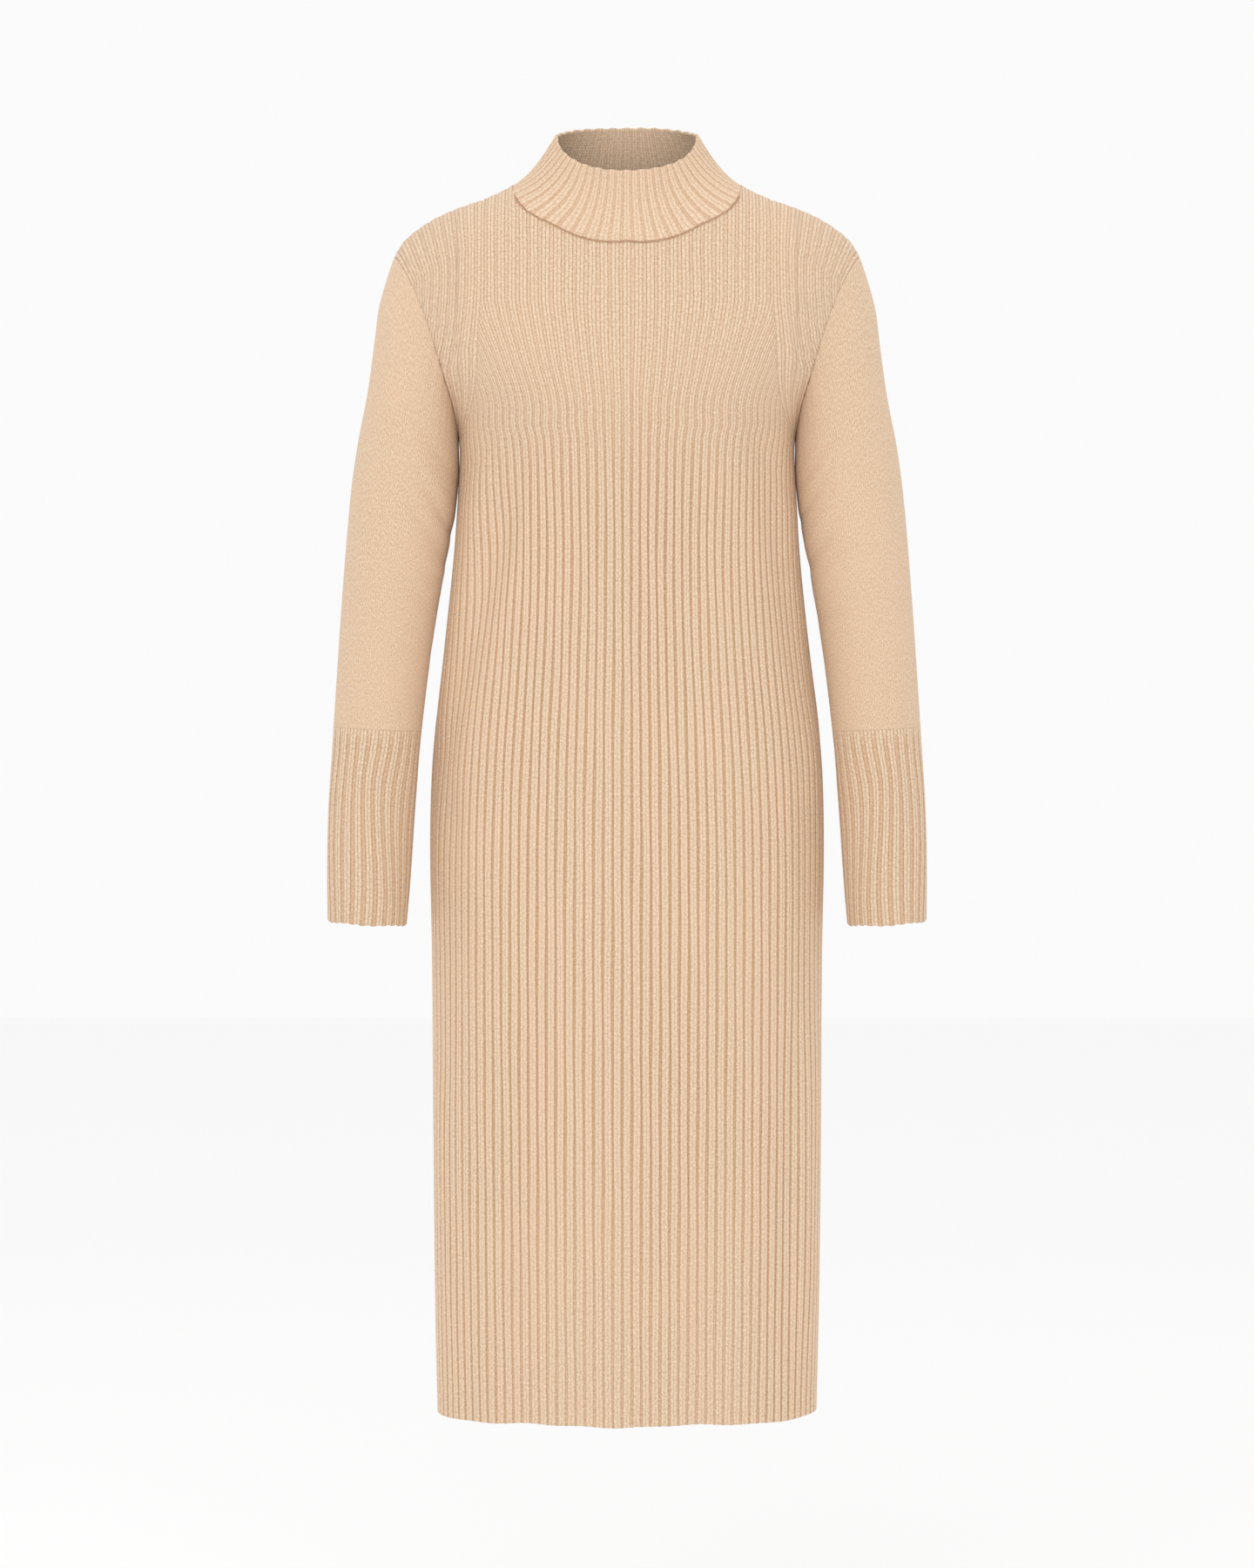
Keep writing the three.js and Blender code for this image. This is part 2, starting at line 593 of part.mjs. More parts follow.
// The armhole's own shape fades out down the sleeve.
function sleevePoint(loop, share, key) {
  const point = sleeveSection(share, key);
  const fade = 1 - THREE.MathUtils.smoothstep(share, 0, CAP_FADE);
  if (fade === 0) return point;
  let turn = key;
  while (turn < loop[0].key) turn += FULL_TURN;
  while (turn >= loop[0].key + FULL_TURN) turn -= FULL_TURN;
  const closed = [...loop, { ...loop[0], key: loop[0].key + FULL_TURN }];
  const i = closed.findIndex((v, n) => n > 0 && turn <= v.key);
  const [a, b] = [closed[i - 1], closed[i]];
  const t = (turn - a.key) / (b.key - a.key);
  const deltaA = a.point.clone().sub(sleeveSection(0, a.key));
  const deltaB = b.point.clone().sub(sleeveSection(0, b.key));
  return point.addScaledVector(deltaA.lerp(deltaB, t), fade);
}

function sleeveNormal(loop, share, key) {
  const at = (stepKey, stepShare) => sleevePoint(loop, Math.max(share + stepShare, 0), key + stepKey);
  const wide = SLEEVE_STEP;
  return normalFrom(at(wide, 0), at(-wide, 0), at(0, wide), at(0, -wide)).negate();
}

const outwardBy = (amount) => (v) => v.normal.clone().multiplyScalar(amount(v));

// The neckline's loop, counter-clockwise from above, with keys from 0 at the centre of the front.
function neckLoop(front, back) {
  const topOf = (rows) =>
    rows.outer
      .at(-1)
      .filter((v) => Math.abs(v.point.x) < NECK_HALF_WIDTH + SEAM_GAP)
      .map((v) => ({ ...v, source: v, into: new THREE.Vector3(v.point.x, v.point.y, 0) }));
  const frontTop = topOf(front);
  const backTop = topOf(back);
  const right = frontTop.filter((v) => v.point.x >= 0);
  const left = frontTop.filter((v) => v.point.x < 0);
  return [...right, ...backTop.reverse(), ...left].map((v) => {
    const reach = v.point.y < 0 ? NECK_FRONT_REACH : NECK_BACK_REACH;
    const angle = Math.atan2(v.point.x / NECK_HALF_WIDTH, -v.point.y / reach);
    return { ...v, key: angle < 0 ? angle + FULL_TURN : angle };
  });
}

// A point of the collar's crown surface: share 0 is the neckline, 1 the rim.
function collarPoint(loop, share, key) {
  const turn = ((key % FULL_TURN) + FULL_TURN) % FULL_TURN;
  const closed = [...loop, { ...loop[0], key: FULL_TURN }];
  const i = Math.max(closed.findIndex((v) => turn <= v.key), 1);
  const [a, b] = [closed[i - 1], closed[i]];
  const base = a.point.clone().lerp(b.point, (turn - a.key) / (b.key - a.key));
  const cos = Math.cos(turn);
  const sin = Math.sin(turn);
  const rim = COLLAR_RIM;
  const dip = mix(Math.pow(Math.max(cos, 0), RIM_DIP), (1 + cos) / 2, RIM_LEAN);
  const reach = cos > 0 ? rim.front : rim.back;
  const top = new THREE.Vector3(rim.halfWidth * sin, -reach * cos, mix(rim.backHeight, rim.frontHeight, dip));
  const end = cos > 0 ? COLLAR_HOLLOW.front : COLLAR_HOLLOW.back;
  const corner = COLLAR_HOLLOW.corner * Math.pow(2 * sin * Math.max(cos, 0), 2);
  const profile = Math.sin(Math.PI * Math.pow(share, mix(HOLLOW_LOW, 1, cos * cos)));
  const hollow = (mix(COLLAR_HOLLOW.side, end, cos * cos) + corner) * profile;
  return base.lerp(top, share).add(new THREE.Vector3(-sin * hollow, cos * hollow, 0));
}

function collarNormal(loop, share, key) {
  const at = (stepKey, stepShare) =>
    collarPoint(loop, THREE.MathUtils.clamp(share + stepShare, 0, 1), key + stepKey);
  return normalFrom(at(SLEEVE_STEP, 0), at(-SLEEVE_STEP, 0), at(0, SLEEVE_STEP), at(0, -SLEEVE_STEP));
}

// Rows of a tube between two shares of its length. Every second column is a furrow where there are ribs.
function tubeRing(place, normalAt, share, columns, rise) {
  const ring = [];
  for (let i = 0; i < columns; i++) {
    const key = (FULL_TURN * i) / columns;
    ring.push({ key, point: place(share, key), normal: normalAt(share, key), sink: i % 2 ? rise : 0 });
  }
  return ring;
}

// Sews a tube's rings into one closed wall, outer rings first.
function tubeWall(wall, outer, inner) {
  const rows = [...outer, ...inner.reverse()];
  rows.forEach((row, k) => wall.zip(row, rows[(k + 1) % rows.length], "key"));
}

const onSurface = outwardBy((v) => -v.sink);
const inWall = (thickness) => outwardBy(() => -thickness);
const acrossSeam = (v, depth) =>
  v.seam.across.clone().multiplyScalar(SEAM_GAP).addScaledVector(v.seam.normal, -depth * v.seam.reach);

// Sets the seams' directions on the vertices that two pieces share.
function markSeams(loop, awaySecond) {
  const n = loop.length;
  const far = (i, step) => {
    const next = loop[(i + step + n) % n];
    return next.point.distanceTo(loop[i].point) > 2 * SEAM_GAP ? next : loop[(i + 2 * step + n) % n];
  };
  loop.forEach((v, i) => {
    const along = far(i, 1).point.clone().sub(far(i, -1).point);
    v.seam = seamFrame(along, v.normal, v.into, awaySecond(v));
  });
}

function panelWall(rows, side) {
  const wall = new Wall();
  const outerMove = (v) => (v.seam ? v.seam.normal.clone().multiplyScalar(-v.sink) : onSurface(v));
  const innerMove = (v) =>
    v.seam ? v.seam.normal.clone().multiplyScalar(-RIB_WALL * v.seam.reach) : inWall(RIB_WALL)(v);
  const outer = rows.outer.map((row) => wall.lay(row, outerMove));
  const inner = rows.inner.map((row) => wall.lay(row, innerMove));
  const last = outer.length - 1;
  for (let k = 0; k < last; k++) {
    wall.zip(outer[k], outer[k + 1], "key");
    wall.zip(inner[k + 1], inner[k], "share");
  }
  wall.zip(outer[last], inner[last], "key");
  wall.zip(inner[0], outer[0], "share");
  wall.closeEdges(outer, inner);
  return wall.geometry(side > 0, false);
}

function sleeveWall(loop, mirrored) {
  const wall = new Wall();
  const place = (share, key) => sleevePoint(loop, share, key);
  const normalAt = (share, key) => sleeveNormal(loop, share, key);
  const rings = SLEEVE_RINGS.slice(1).map((share) => tubeRing(place, normalAt, share, SLEEVE_COLUMNS, 0));
  squareEnd(rings.at(-1), 1);
  const outer = [wall.ring(startKeys(loop), (v) => acrossSeam(v, 0))];
  const inner = [wall.ring(startKeys(loop), (v) => acrossSeam(v, PLAIN_WALL))];
  rings.forEach((ring) => outer.push(wall.ring(ring, onSurface)));
  rings.forEach((ring) => inner.push(wall.ring(ring, inWall(PLAIN_WALL))));
  tubeWall(wall, outer, inner);
  return wall.geometry(!mirrored, mirrored);
}

// Starts a sleeve's loop at its outer end, like the rings below it.
function startKeys(loop) {
  const turned = loop.map((v) => ({ ...v, key: v.key < 0 ? v.key + FULL_TURN : v.key }));
  return turned.sort((a, b) => a.key - b.key);
}

// Lays the normals of a ring into the ring's own plane, so that its end face is flat.
function squareEnd(ring, share) {
  const { outer, inner } = sleeveEnds(share);
  const axis = outer.sub(inner).cross(new THREE.Vector3(0, 1, 0)).normalize();
  ring.forEach((v) => v.normal.addScaledVector(axis, -v.normal.dot(axis)).normalize());
}

function cuffWall(loop, mirrored) {
  const wall = new Wall();
  const place = (share, key) => sleevePoint(loop, share, key);
  const normalAt = (share, key) => sleeveNormal(loop, share, key);
  const start = 1 + (SEAM_GAP / CUFF_LENGTH) * CUFF_SHARE;
  const shares = CUFF_RINGS.map((t) => mix(start, 1 + CUFF_SHARE, t));
  const ringsOf = (columns, rise) => {
    const rings = shares.map((share) => tubeRing(place, normalAt, share, columns, rise));
    squareEnd(rings[0], start);
    squareEnd(rings.at(-1), 1 + CUFF_SHARE);
    return rings;
  };
  const outer = ringsOf(2 * CUFF_RIBS, CUFF_RISE).map((ring) => wall.ring(ring, onSurface));
  const inner = ringsOf(CUFF_RIBS, 0).map((ring) => wall.ring(ring, inWall(RIB_WALL)));
  tubeWall(wall, outer, inner);
  return wall.geometry(!mirrored, mirrored);
}

function collarWall(loop) {
  const wall = new Wall();
  const place = (share, key) => collarPoint(loop, share, key);
  const normalAt = (share, key) => collarNormal(loop, share, key);
  const ringsOf = (columns, rise) =>
    COLLAR_RINGS.slice(1).map((share) => tubeRing(place, normalAt, share, columns, rise));
  const outer = [wall.ring(loop, (v) => acrossSeam(v, 0))];
  const inner = [wall.ring(loop, (v) => acrossSeam(v, RIB_WALL))];
  ringsOf(2 * COLLAR_RIBS, RIB_RISE).forEach((ring) => outer.push(wall.ring(ring, onSurface)));
  ringsOf(COLLAR_INNER_COLUMNS, 0).forEach((ring) => inner.push(wall.ring(ring, inWall(RIB_WALL))));
  tubeWall(wall, outer, inner);
  return wall.geometry(false, false);
}

function ribKnit() {
  return new THREE.MeshStandardMaterial({ name: "rib_knit", color: RIB_COLOUR, roughness: ROUGHNESS });
}

function plainKnit() {
  return new THREE.MeshStandardMaterial({ name: "plain_knit", color: PLAIN_COLOUR, roughness: ROUGHNESS });
}

function piece(name, geometry, material) {
  const mesh = new THREE.Mesh(geometry, material);
  mesh.name = name;
  return mesh;
}

function dress() {
  const front = panelRows(-1);
  const back = panelRows(1);
  const armhole = armholeLoop(front, back);
  markSeams(armhole, (v) => sleevePoint(armhole, SEAM_LOOK, v.key).sub(v.point));
  const neck = neckLoop(front, back);
  markSeams(neck, (v) => collarPoint(neck, SEAM_LOOK, v.key).sub(v.point));
  copySeams([...armhole, ...neck], [front, back]);
  const rib = ribKnit();
  const plain = plainKnit();
  const group = new THREE.Group();
  group.add(piece("front", panelWall(front, -1), rib));
  group.add(piece("back", panelWall(back, 1), rib));
  group.add(piece("sleeve_left", sleeveWall(armhole, false), plain));
  group.add(piece("sleeve_right", sleeveWall(armhole, true), plain));
  group.add(piece("cuff_left", cuffWall(armhole, false), rib));
  group.add(piece("cuff_right", cuffWall(armhole, true), rib));
  group.add(piece("collar", collarWall(neck), rib));
  return group;
}

// Gives the panels' own vertices the seam directions of their loops, and mirrors those of the armhole.
function copySeams(loops, panels) {
  for (const v of loops) v.source.seam = v.seam;
  for (const rows of panels) {
    rows.outer.forEach((row, k) => {
      if (LEVELS[k] < 0) return;
      const seam = row.at(-1).seam;
      row[0].seam = mirrorSeam(seam);
      if (k === LEVELS.length - 1) return;
      rows.inner[k].at(-1).seam = seam;
      rows.inner[k][0].seam = row[0].seam;
    });
  }
}

function mirrorSeam(seam) {
  const flip = new THREE.Vector3(-1, 1, 1);
  return { ...seam, normal: seam.normal.clone().multiply(flip), across: seam.across.clone().multiply(flip) };
}

export default dress();
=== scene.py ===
import math

import bpy
import numpy as np
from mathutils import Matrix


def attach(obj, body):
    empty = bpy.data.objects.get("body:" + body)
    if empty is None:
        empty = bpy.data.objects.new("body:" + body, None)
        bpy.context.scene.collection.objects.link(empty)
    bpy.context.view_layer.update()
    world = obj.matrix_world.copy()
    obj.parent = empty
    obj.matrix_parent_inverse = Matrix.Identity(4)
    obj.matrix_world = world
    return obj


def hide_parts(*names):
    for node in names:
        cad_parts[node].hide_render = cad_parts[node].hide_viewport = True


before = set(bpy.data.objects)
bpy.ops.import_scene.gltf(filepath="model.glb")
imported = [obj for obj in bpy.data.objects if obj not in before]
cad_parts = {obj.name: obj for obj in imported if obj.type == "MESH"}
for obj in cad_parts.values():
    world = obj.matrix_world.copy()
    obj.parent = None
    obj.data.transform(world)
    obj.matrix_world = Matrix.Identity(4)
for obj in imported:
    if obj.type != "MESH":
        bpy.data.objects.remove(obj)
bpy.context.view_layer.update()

MM = 0.001
FULL_TURN = 2 * math.pi
QUARTER_TURN = math.pi / 2

# Driving sizes
BODY_LENGTH = 1106
UNDERARM = -222
LOWER_HEIGHT = BODY_LENGTH + UNDERARM
SLEEVE_DROP = 483
CUFF_LENGTH = 175
CUFF_TILT = 2
CUFF_SHARE = 0.42
SEAM_GAP = 0.3
NECK_HALF_WIDTH = 103.5
NECK_FRONT_REACH = 80
NECK_BACK_REACH = 73

# Cloth
RIB_WALL = 3.0
PLAIN_WALL = 2.2
RIB_RISE = 1.5  # of a rib at rest
STRETCHED_RISE = 0.45  # of a rib that is pulled wide
CUFF_RISE = 1.1
COLLAR_RISE = 1.1
SEAM_REACH = 2.5  # the cloth turns in this close to a seam
SIDE_ROLL = 1.0  # how far it turns in at the side seams
NECK_ROLL = 0.4
NECK_ENDS = (0.35, 0.6)  # of the cosine round the neck: the seam is hidden below the first, clear above the second
SHOULDER_ROLL = 0.5
UNDERARM_ROLL = 0.0  # there the two pieces already turn away from each other
TUCK_REACH = 1.6  # the cloth that is sewn in lies this far behind its neighbour's edge
TUCK_DEPTH = 1.3
EDGE_ROUND = 1.0  # how far an open edge is rounded on each face
EDGE_REACH = 1.8
LINE_SINK = 1.3  # groove along the fashioned line
LINE_REACH = 1.7
HEM_WAVE = 1.0  # how far the hem rises and falls
HEM_SOFT = (800, 1060)  # from here down the painted shade in the furrows grows fainter, but not at the sides
HEM_SIDES = (90, 140)
WANDER = 0.3  # how far a rib strays sideways

# Ribs, counted from the centre line
BODY_RIBS = 23
CHEST_RIBS = 13
BAND_RIBS = 3
NECK_RIBS = 10
CUFF_RIBS = 24
COLLAR_RIBS = 60
GATHER_LEVEL = 0.6  # from here to NECK_LEVEL the ribs move to their places along the neckline
NECK_LEVEL = 0.9
GAUGE_RISE = 150
STRETCH_LOW = -300  # ribs are at rest below this height and fully stretched above the next
STRETCH_HIGH = -145
# The fan of ribs at the chest: height, ribs up to the fashioned line if all were as wide as at the centre,
# and ribs that really reach it
RIB_FAN = [
    (-222, 22.9, 23), (-210, 19.8, 21.9), (-194, 17.6, 20.3), (-178.5, 16, 18.7), (-163, 14.8, 17.1),
    (-147, 13.8, 15.9), (-131, 13.2, 14.6), (-115, 12.84, 13.6), (-99.5, 12.6, 13),
]
# Ribs between that line and the armhole: height, ribs
BAND_FAN = [(-163, BAND_RIBS), (-147, 4), (-131, 5), (-115, 6), (-100, 7), (-84, 8)]

# The body's sections: height, half-width, depth of the front, depth of the back
SECTION_ROUND = 2.1
BODY_SECTIONS = [
    (-1106, 173, 96, 100),
    (-1008, 175, 97, 102),
    (-850, 176.5, 98, 106),
    (-692, 177.5, 98, 111),
    (-581, 179, 94, 113),
    (-502, 176, 89, 107),
    (-408, 164.5, 86, 93),
    (-329, 156.5, 88, 88),
    (-265, 153, 98, 93),
    (-222, 152.5, 106, 98),
    (-190, 165, 110, 101),
    (-155, 190, 108, 103),
    (-105, 218, 97, 100),
    (-62, 225, 84, 90),
    (-20, 226, 74, 76),
    (30, 226, 66, 64),
]
# The shoulder's ridge: distance from the centre, height
SHOULDER_RIDGE = [
    (0, 30), (50, 22.5), (90, 13.5), (103.5, 7.6), (113, 2.4), (124, -2.6), (138, -7.8),
    (151, -12.4), (163, -17.2), (175, -23), (188, -31.2), (200, -41), (207, -50.2), (211, -58),
]
ARCH_HEIGHT = 50
STRAIGHT_UNIT = 100
SEAM_STATION = 0.16
# The neckline: share of its depth, station at the front, station at the back
NECKLINE = [
    (0, SEAM_STATION, SEAM_STATION),
    (0.15, -0.34, 0.29),
    (0.415, -0.69, 0.49),
    (0.655, -0.905, 0.68),
    (0.8, -1.04, 0.79),
    (1, -1.265, 0.93),
]
SMOOTH_REACH = 26
# The armhole: level above the underarm, the panel's edge, the fashioned line
ARMHOLE = [
    (0, 152.5, 149.3), (0.06, 153.2, 145.4), (0.12, 155, 140), (0.2, 158.5, 136),
    (0.32, 166, 134), (0.415, 173, 132), (0.48, 178, 131), (0.63, 191, 131),
    (0.77, 202.5, 131), (0.9, 209.5, 131), (1, 211, 131),
]
# The sleeve's outer and inner edges: height, distance from the centre
SLEEVE_OUTER = [
    (-660, 271.2), (-605, 270.8), (-534, 268.4), (-440, 262.9), (-345, 256.4), (-273, 250.2),
    (-226, 243.8), (-178, 234.6), (-131, 228.4), (-107, 225.4), (-84, 219.2), (-60.5, 211.3),
]
SLEEVE_INNER = [
    (-660, 198.5), (-629, 196.3), (-558, 192.4), (-487, 186), (-415, 177.4), (-345, 166.2),
    (-297, 157), (-272, 153.7), (-250, 152.2), (-222, 152.8),
]
# The sleeve's half-depth and how far it hangs forward, by share of its length
SLEEVE_DEPTH = [
    (0, 64, 0), (0.2, 60, 0), (0.5, 54, 4), (0.8, 47, 11), (1, 43, 17), (1.42, 38, 31),
]
SLEEVE_GIRTH = 290
CAP_FADE = 0.3
RIM_HALF_WIDTH = 64
RIM_FRONT = 58
RIM_BACK = 60
RIM_FRONT_HEIGHT = 17
RIM_BACK_HEIGHT = 64
RIM_DIP = 0.9
RIM_LEAN = 0.45
RIM_WAVE = 0.45  # small bumps along the rim, one for every second rib
HOLLOW_FRONT = 8
HOLLOW_CORNER = 4
HOLLOW_SIDE = 5.2
HOLLOW_BACK = 3
HOLLOW_LOW = 0.66

# Folds of the body: side, start (x, z), end (x, z), half-width, height, and how far the ends fade out
FOLDS = [
    (-1, -95, -262, -122, -352, 15, -2.6, 50),
    (-1, -122, -330, -165, -490, 15, -4.2, 60),
    (-1, -141, -300, -172, -470, 12, 2.5, 60),
    (-1, 128, -270, 158, -440, 15, -3.5, 60),
    (-1, 150, -300, 168, -500, 10, 1.6, 50),
    (-1, 163, -573, 163, -755, 12, -1.8, 60),
    (-1, 163, -795, 160, -968, 12, 2.4, 60),
    (-1, 150, -800, 146, -1000, 10, -2.2, 60),
    (-1, -166, -520, -160, -560, 10, -1.2, 30),
    (-1, -160, -560, -164, -760, 14, -2.2, 60),
    (-1, -40, -760, -64, -1090, 24, 1.5, 90),
    (-1, 66, -840, 88, -1106, 20, -1.6, 90),
    (-1, -104, -900, -98, -1106, 18, -1.8, 90),
    (-1, 18, -930, 22, -1106, 20, 1.2, 80),
    (-1, 112, -215, 140, -255, 9, -1.2, 25),
    (-1, -116, -212, -142, -250, 9, -1.2, 25),
    (1, -60, -330, -120, -470, 24, -5, 60),
    (1, 70, -350, 128, -480, 22, -4, 60),
    (1, -20, -640, -34, -1080, 30, -5, 60),
    (1, 84, -700, 96, -1090, 26, 4, 60),
    (1, -140, -280, -160, -420, 12, -2.4, 50),
    (1, 146, -300, 164, -460, 12, 2.2, 50),
    (1, -100, -760, -122, -1106, 20, 2.4, 90),
    (1, 138, -840, 140, -1106, 16, -2.2, 80),
    (1, 30, -900, 26, -1106, 18, 1.8, 80),
    (1, 118, -214, 146, -262, 10, -1.4, 25),
    (1, -122, -210, -148, -256, 10, -1.4, 25),
]
# Creases of a sleeve: share of its length, place round it in turns, length in turns, width as a share,
# slant and height. The front lies at 0.75 of a turn, the outside at 0.
CREASES_LEFT = [
    (0.20, 0.66, 0.10, 0.018, 0.10, -1.3), (0.27, 0.60, 0.12, 0.020, -0.12, -1.6),
    (0.34, 0.68, 0.14, 0.022, -0.18, 1.2), (0.42, 0.60, 0.13, 0.022, -0.20, -1.6),
    (0.50, 0.70, 0.12, 0.020, -0.15, 1.0), (0.63, 0.62, 0.10, 0.024, 0.12, -1.2),
    (0.80, 0.70, 0.12, 0.030, 0.10, -1.0), (0.38, 0.22, 0.16, 0.024, 0.16, -1.4),
    (0.55, 0.30, 0.14, 0.026, -0.14, 1.3), (0.72, 0.20, 0.12, 0.026, 0.10, -1.1),
]
CREASES_RIGHT = [
    (0.18, 0.64, 0.11, 0.018, 0.14, -1.2), (0.25, 0.68, 0.14, 0.022, -0.10, 1.1),
    (0.31, 0.60, 0.13, 0.020, -0.16, -1.7), (0.39, 0.66, 0.15, 0.024, -0.22, -1.3),
    (0.47, 0.62, 0.11, 0.020, 0.10, 1.1), (0.58, 0.70, 0.12, 0.026, -0.10, -1.2),
    (0.75, 0.64, 0.12, 0.030, 0.12, -1.0), (0.33, 0.28, 0.15, 0.024, -0.16, -1.4),
    (0.50, 0.20, 0.14, 0.026, 0.12, 1.3), (0.68, 0.30, 0.12, 0.028, -0.10, -1.1),
]
CUFF_DRIFT = 0.012  # how far the cuff's ribs turn round it, in turns

# How finely the pieces are divided
RIB_PHASES = np.array([0, 0.15, 0.28, 0.36, 0.43, 0.5, 0.57, 0.64, 0.72, 0.85])
CORNER_RIBS = np.array([NECK_RIBS - 0.1, NECK_RIBS - 0.05, NECK_RIBS - 0.02, NECK_RIBS - 0.005])
RIB_MARGIN = 0.06
LINE_KEY = 40  # the line and the band beside it are numbered from here, past the ribs of the body
BAND_START = 100
LOWER_ROWS = 92
UPPER_ROWS = 76
EDGE_ROWS = np.array([0.4, 0.9, 1.5, 2.6, 4.5])  # extra rows this far from an edge
INSIDE_COLUMNS = 90
INSIDE_SHADE = 0.3  # how strong the painted furrow shade is on the inside of the cloth, against the outside
INSIDE_STEP = 4
SLEEVE_COLUMNS = 132
SLEEVE_ROWS = 150
CUFF_COLUMNS = CUFF_RIBS * 12
CUFF_ROWS = 60
COLLAR_COLUMNS = COLLAR_RIBS * 10
COLLAR_ROWS = 64
FAN_STEPS = 120
STATION_STEPS = 40
GAUGE_STEPS = 80

# Stitches of the knit
COURSE = 1.9
PLAIN_WALE = 2.0


def mix(a, b, t):
    return a + (b - a) * t


def smooth(value, low, high):
    t = np.clip((value - low) / (high - low), 0, 1)
    return t * t * (3 - 2 * t)


def read(table, at, column):
    """Smooth curve through a table's rows, by its first column."""
    rows = np.array(table, dtype=float)
    x, y = rows[:, 0], rows[:, column]
    low = np.maximum(np.arange(len(x)) - 1, 0)
    high = np.minimum(np.arange(len(x)) + 1, len(x) - 1)
    slope = (y[high] - y[low]) / (x[high] - x[low])
    place = np.clip(at, x[0], x[-1])
    i = np.clip(np.searchsorted(x, place, side="left") - 1, 0, len(x) - 2)
    span = x[i + 1] - x[i]
    t = (place - x[i]) / span
    a = (2 * t**3 - 3 * t**2 + 1) * y[i] + (t**3 - 2 * t**2 + t) * slope[i] * span
    return a + (3 * t**2 - 2 * t**3) * y[i + 1] + (t**3 - t**2) * slope[i + 1] * span


def depth_at(side, x, z):
    half = read(BODY_SECTIONS, z, 1)
    reach = read(BODY_SECTIONS, z, 2 if side < 0 else 3)
    share = np.minimum(np.abs(x) / half, 1)
    return reach * (1 - share**SECTION_ROUND) ** (1 / SECTION_ROUND)


def depth_both(side, x, z):
    """Like depth_at, where side is an array too."""
    return np.where(side < 0, depth_at(-1, x, z), depth_at(1, x, z))


def ridge_at(x):
    return read(SHOULDER_RIDGE, np.abs(x), 1)


def station_point(x, station):
    side = np.where(station < 0, -1.0, 1.0)
    away = np.abs(station)
    turn = np.minimum(away, 1) * QUARTER_TURN
    drop = ARCH_HEIGHT * (1 - np.cos(turn)) + np.maximum(away - 1, 0) * STRAIGHT_UNIT
    z = ridge_at(x) - drop
    return np.stack([x, side * depth_both(side, x, z) * np.sin(turn), z], -1)


def station_at_height(side, x, z):
    drop = ridge_at(x) - z
    arch = np.arccos(np.clip(1 - drop / ARCH_HEIGHT, -1, 1)) / QUARTER_TURN
    return side * np.where(drop < ARCH_HEIGHT, arch, 1 + (drop - ARCH_HEIGHT) / STRAIGHT_UNIT)


def top_line(side, x):
    across = np.minimum(np.abs(x) / NECK_HALF_WIDTH, 1)
    share = np.sqrt(1 - across**2)
    half_gap = SEAM_GAP / 2 / (ARCH_HEIGHT * QUARTER_TURN)
    return read(NECKLINE, share, 1 if side < 0 else 2) + side * half_gap


def station_at_level(side, level, x):
    """Station of a level, its distance along the cloth from the underarm, and the whole distance."""
    steps = [top_line(side, x + s * SMOOTH_REACH) for s in (-1, -0.67, -0.33, 0, 0.33, 0.67, 1)]
    soft = sum(steps) / len(steps)
    share = np.maximum(level - NECK_LEVEL, 0) / (1 - NECK_LEVEL)
    end = mix(soft, top_line(side, x), share)
    start = station_at_height(side, x, UNDERARM)
    t = np.linspace(0, 1, STATION_STEPS + 1).reshape((-1,) + (1,) * np.ndim(x))
    stations = start + (end - start) * t
    points = station_point(np.broadcast_to(x, stations.shape), stations)
    lengths = np.linalg.norm(np.diff(points, axis=0), axis=-1)
    reached = np.concatenate([np.zeros((1,) + np.shape(x)), np.cumsum(lengths, axis=0)])
    wanted = reached[-1] * level
    i = np.clip((reached < wanted).sum(axis=0) - 1, 0, STATION_STEPS - 1)
    low = np.take_along_axis(reached, i[None], 0)[0]
    high = np.take_along_axis(reached, i[None] + 1, 0)[0]
    part = (wanted - low) / np.maximum(high - low, 1e-9)
    return start + (end - start) * (i + part) / STATION_STEPS, wanted, reached[-1]


def edge_at(level):
    if level > 0:
        return float(read(ARMHOLE, level, 1))
    return float(read(BODY_SECTIONS, UNDERARM + level * LOWER_HEIGHT, 1))


def gauge(side, level):
    """Distances from the centre along the section that spaces the ribs at a level, and their x."""
    z = UNDERARM + (level * LOWER_HEIGHT if level <= 0 else min(level * 2, 1) * GAUGE_RISE)
    x = edge_at(level) * np.sin(np.linspace(0, QUARTER_TURN, GAUGE_STEPS + 1))
    y = depth_at(side, x, z)
    return x, np.concatenate([[0], np.cumsum(np.hypot(np.diff(x), np.diff(y)))])


def height_at(side, level, x):
    station = station_at_level(side, np.full(np.shape(x), level), x)[0]
    return station_point(x, station)[..., 2]


def rib_numbers(top):
    """Numbers of the columns up to a rib number, the same for each rib."""
    numbers = (np.arange(math.ceil(top) + 1)[:, None] + RIB_PHASES).ravel()
    return numbers[numbers < top - RIB_MARGIN]


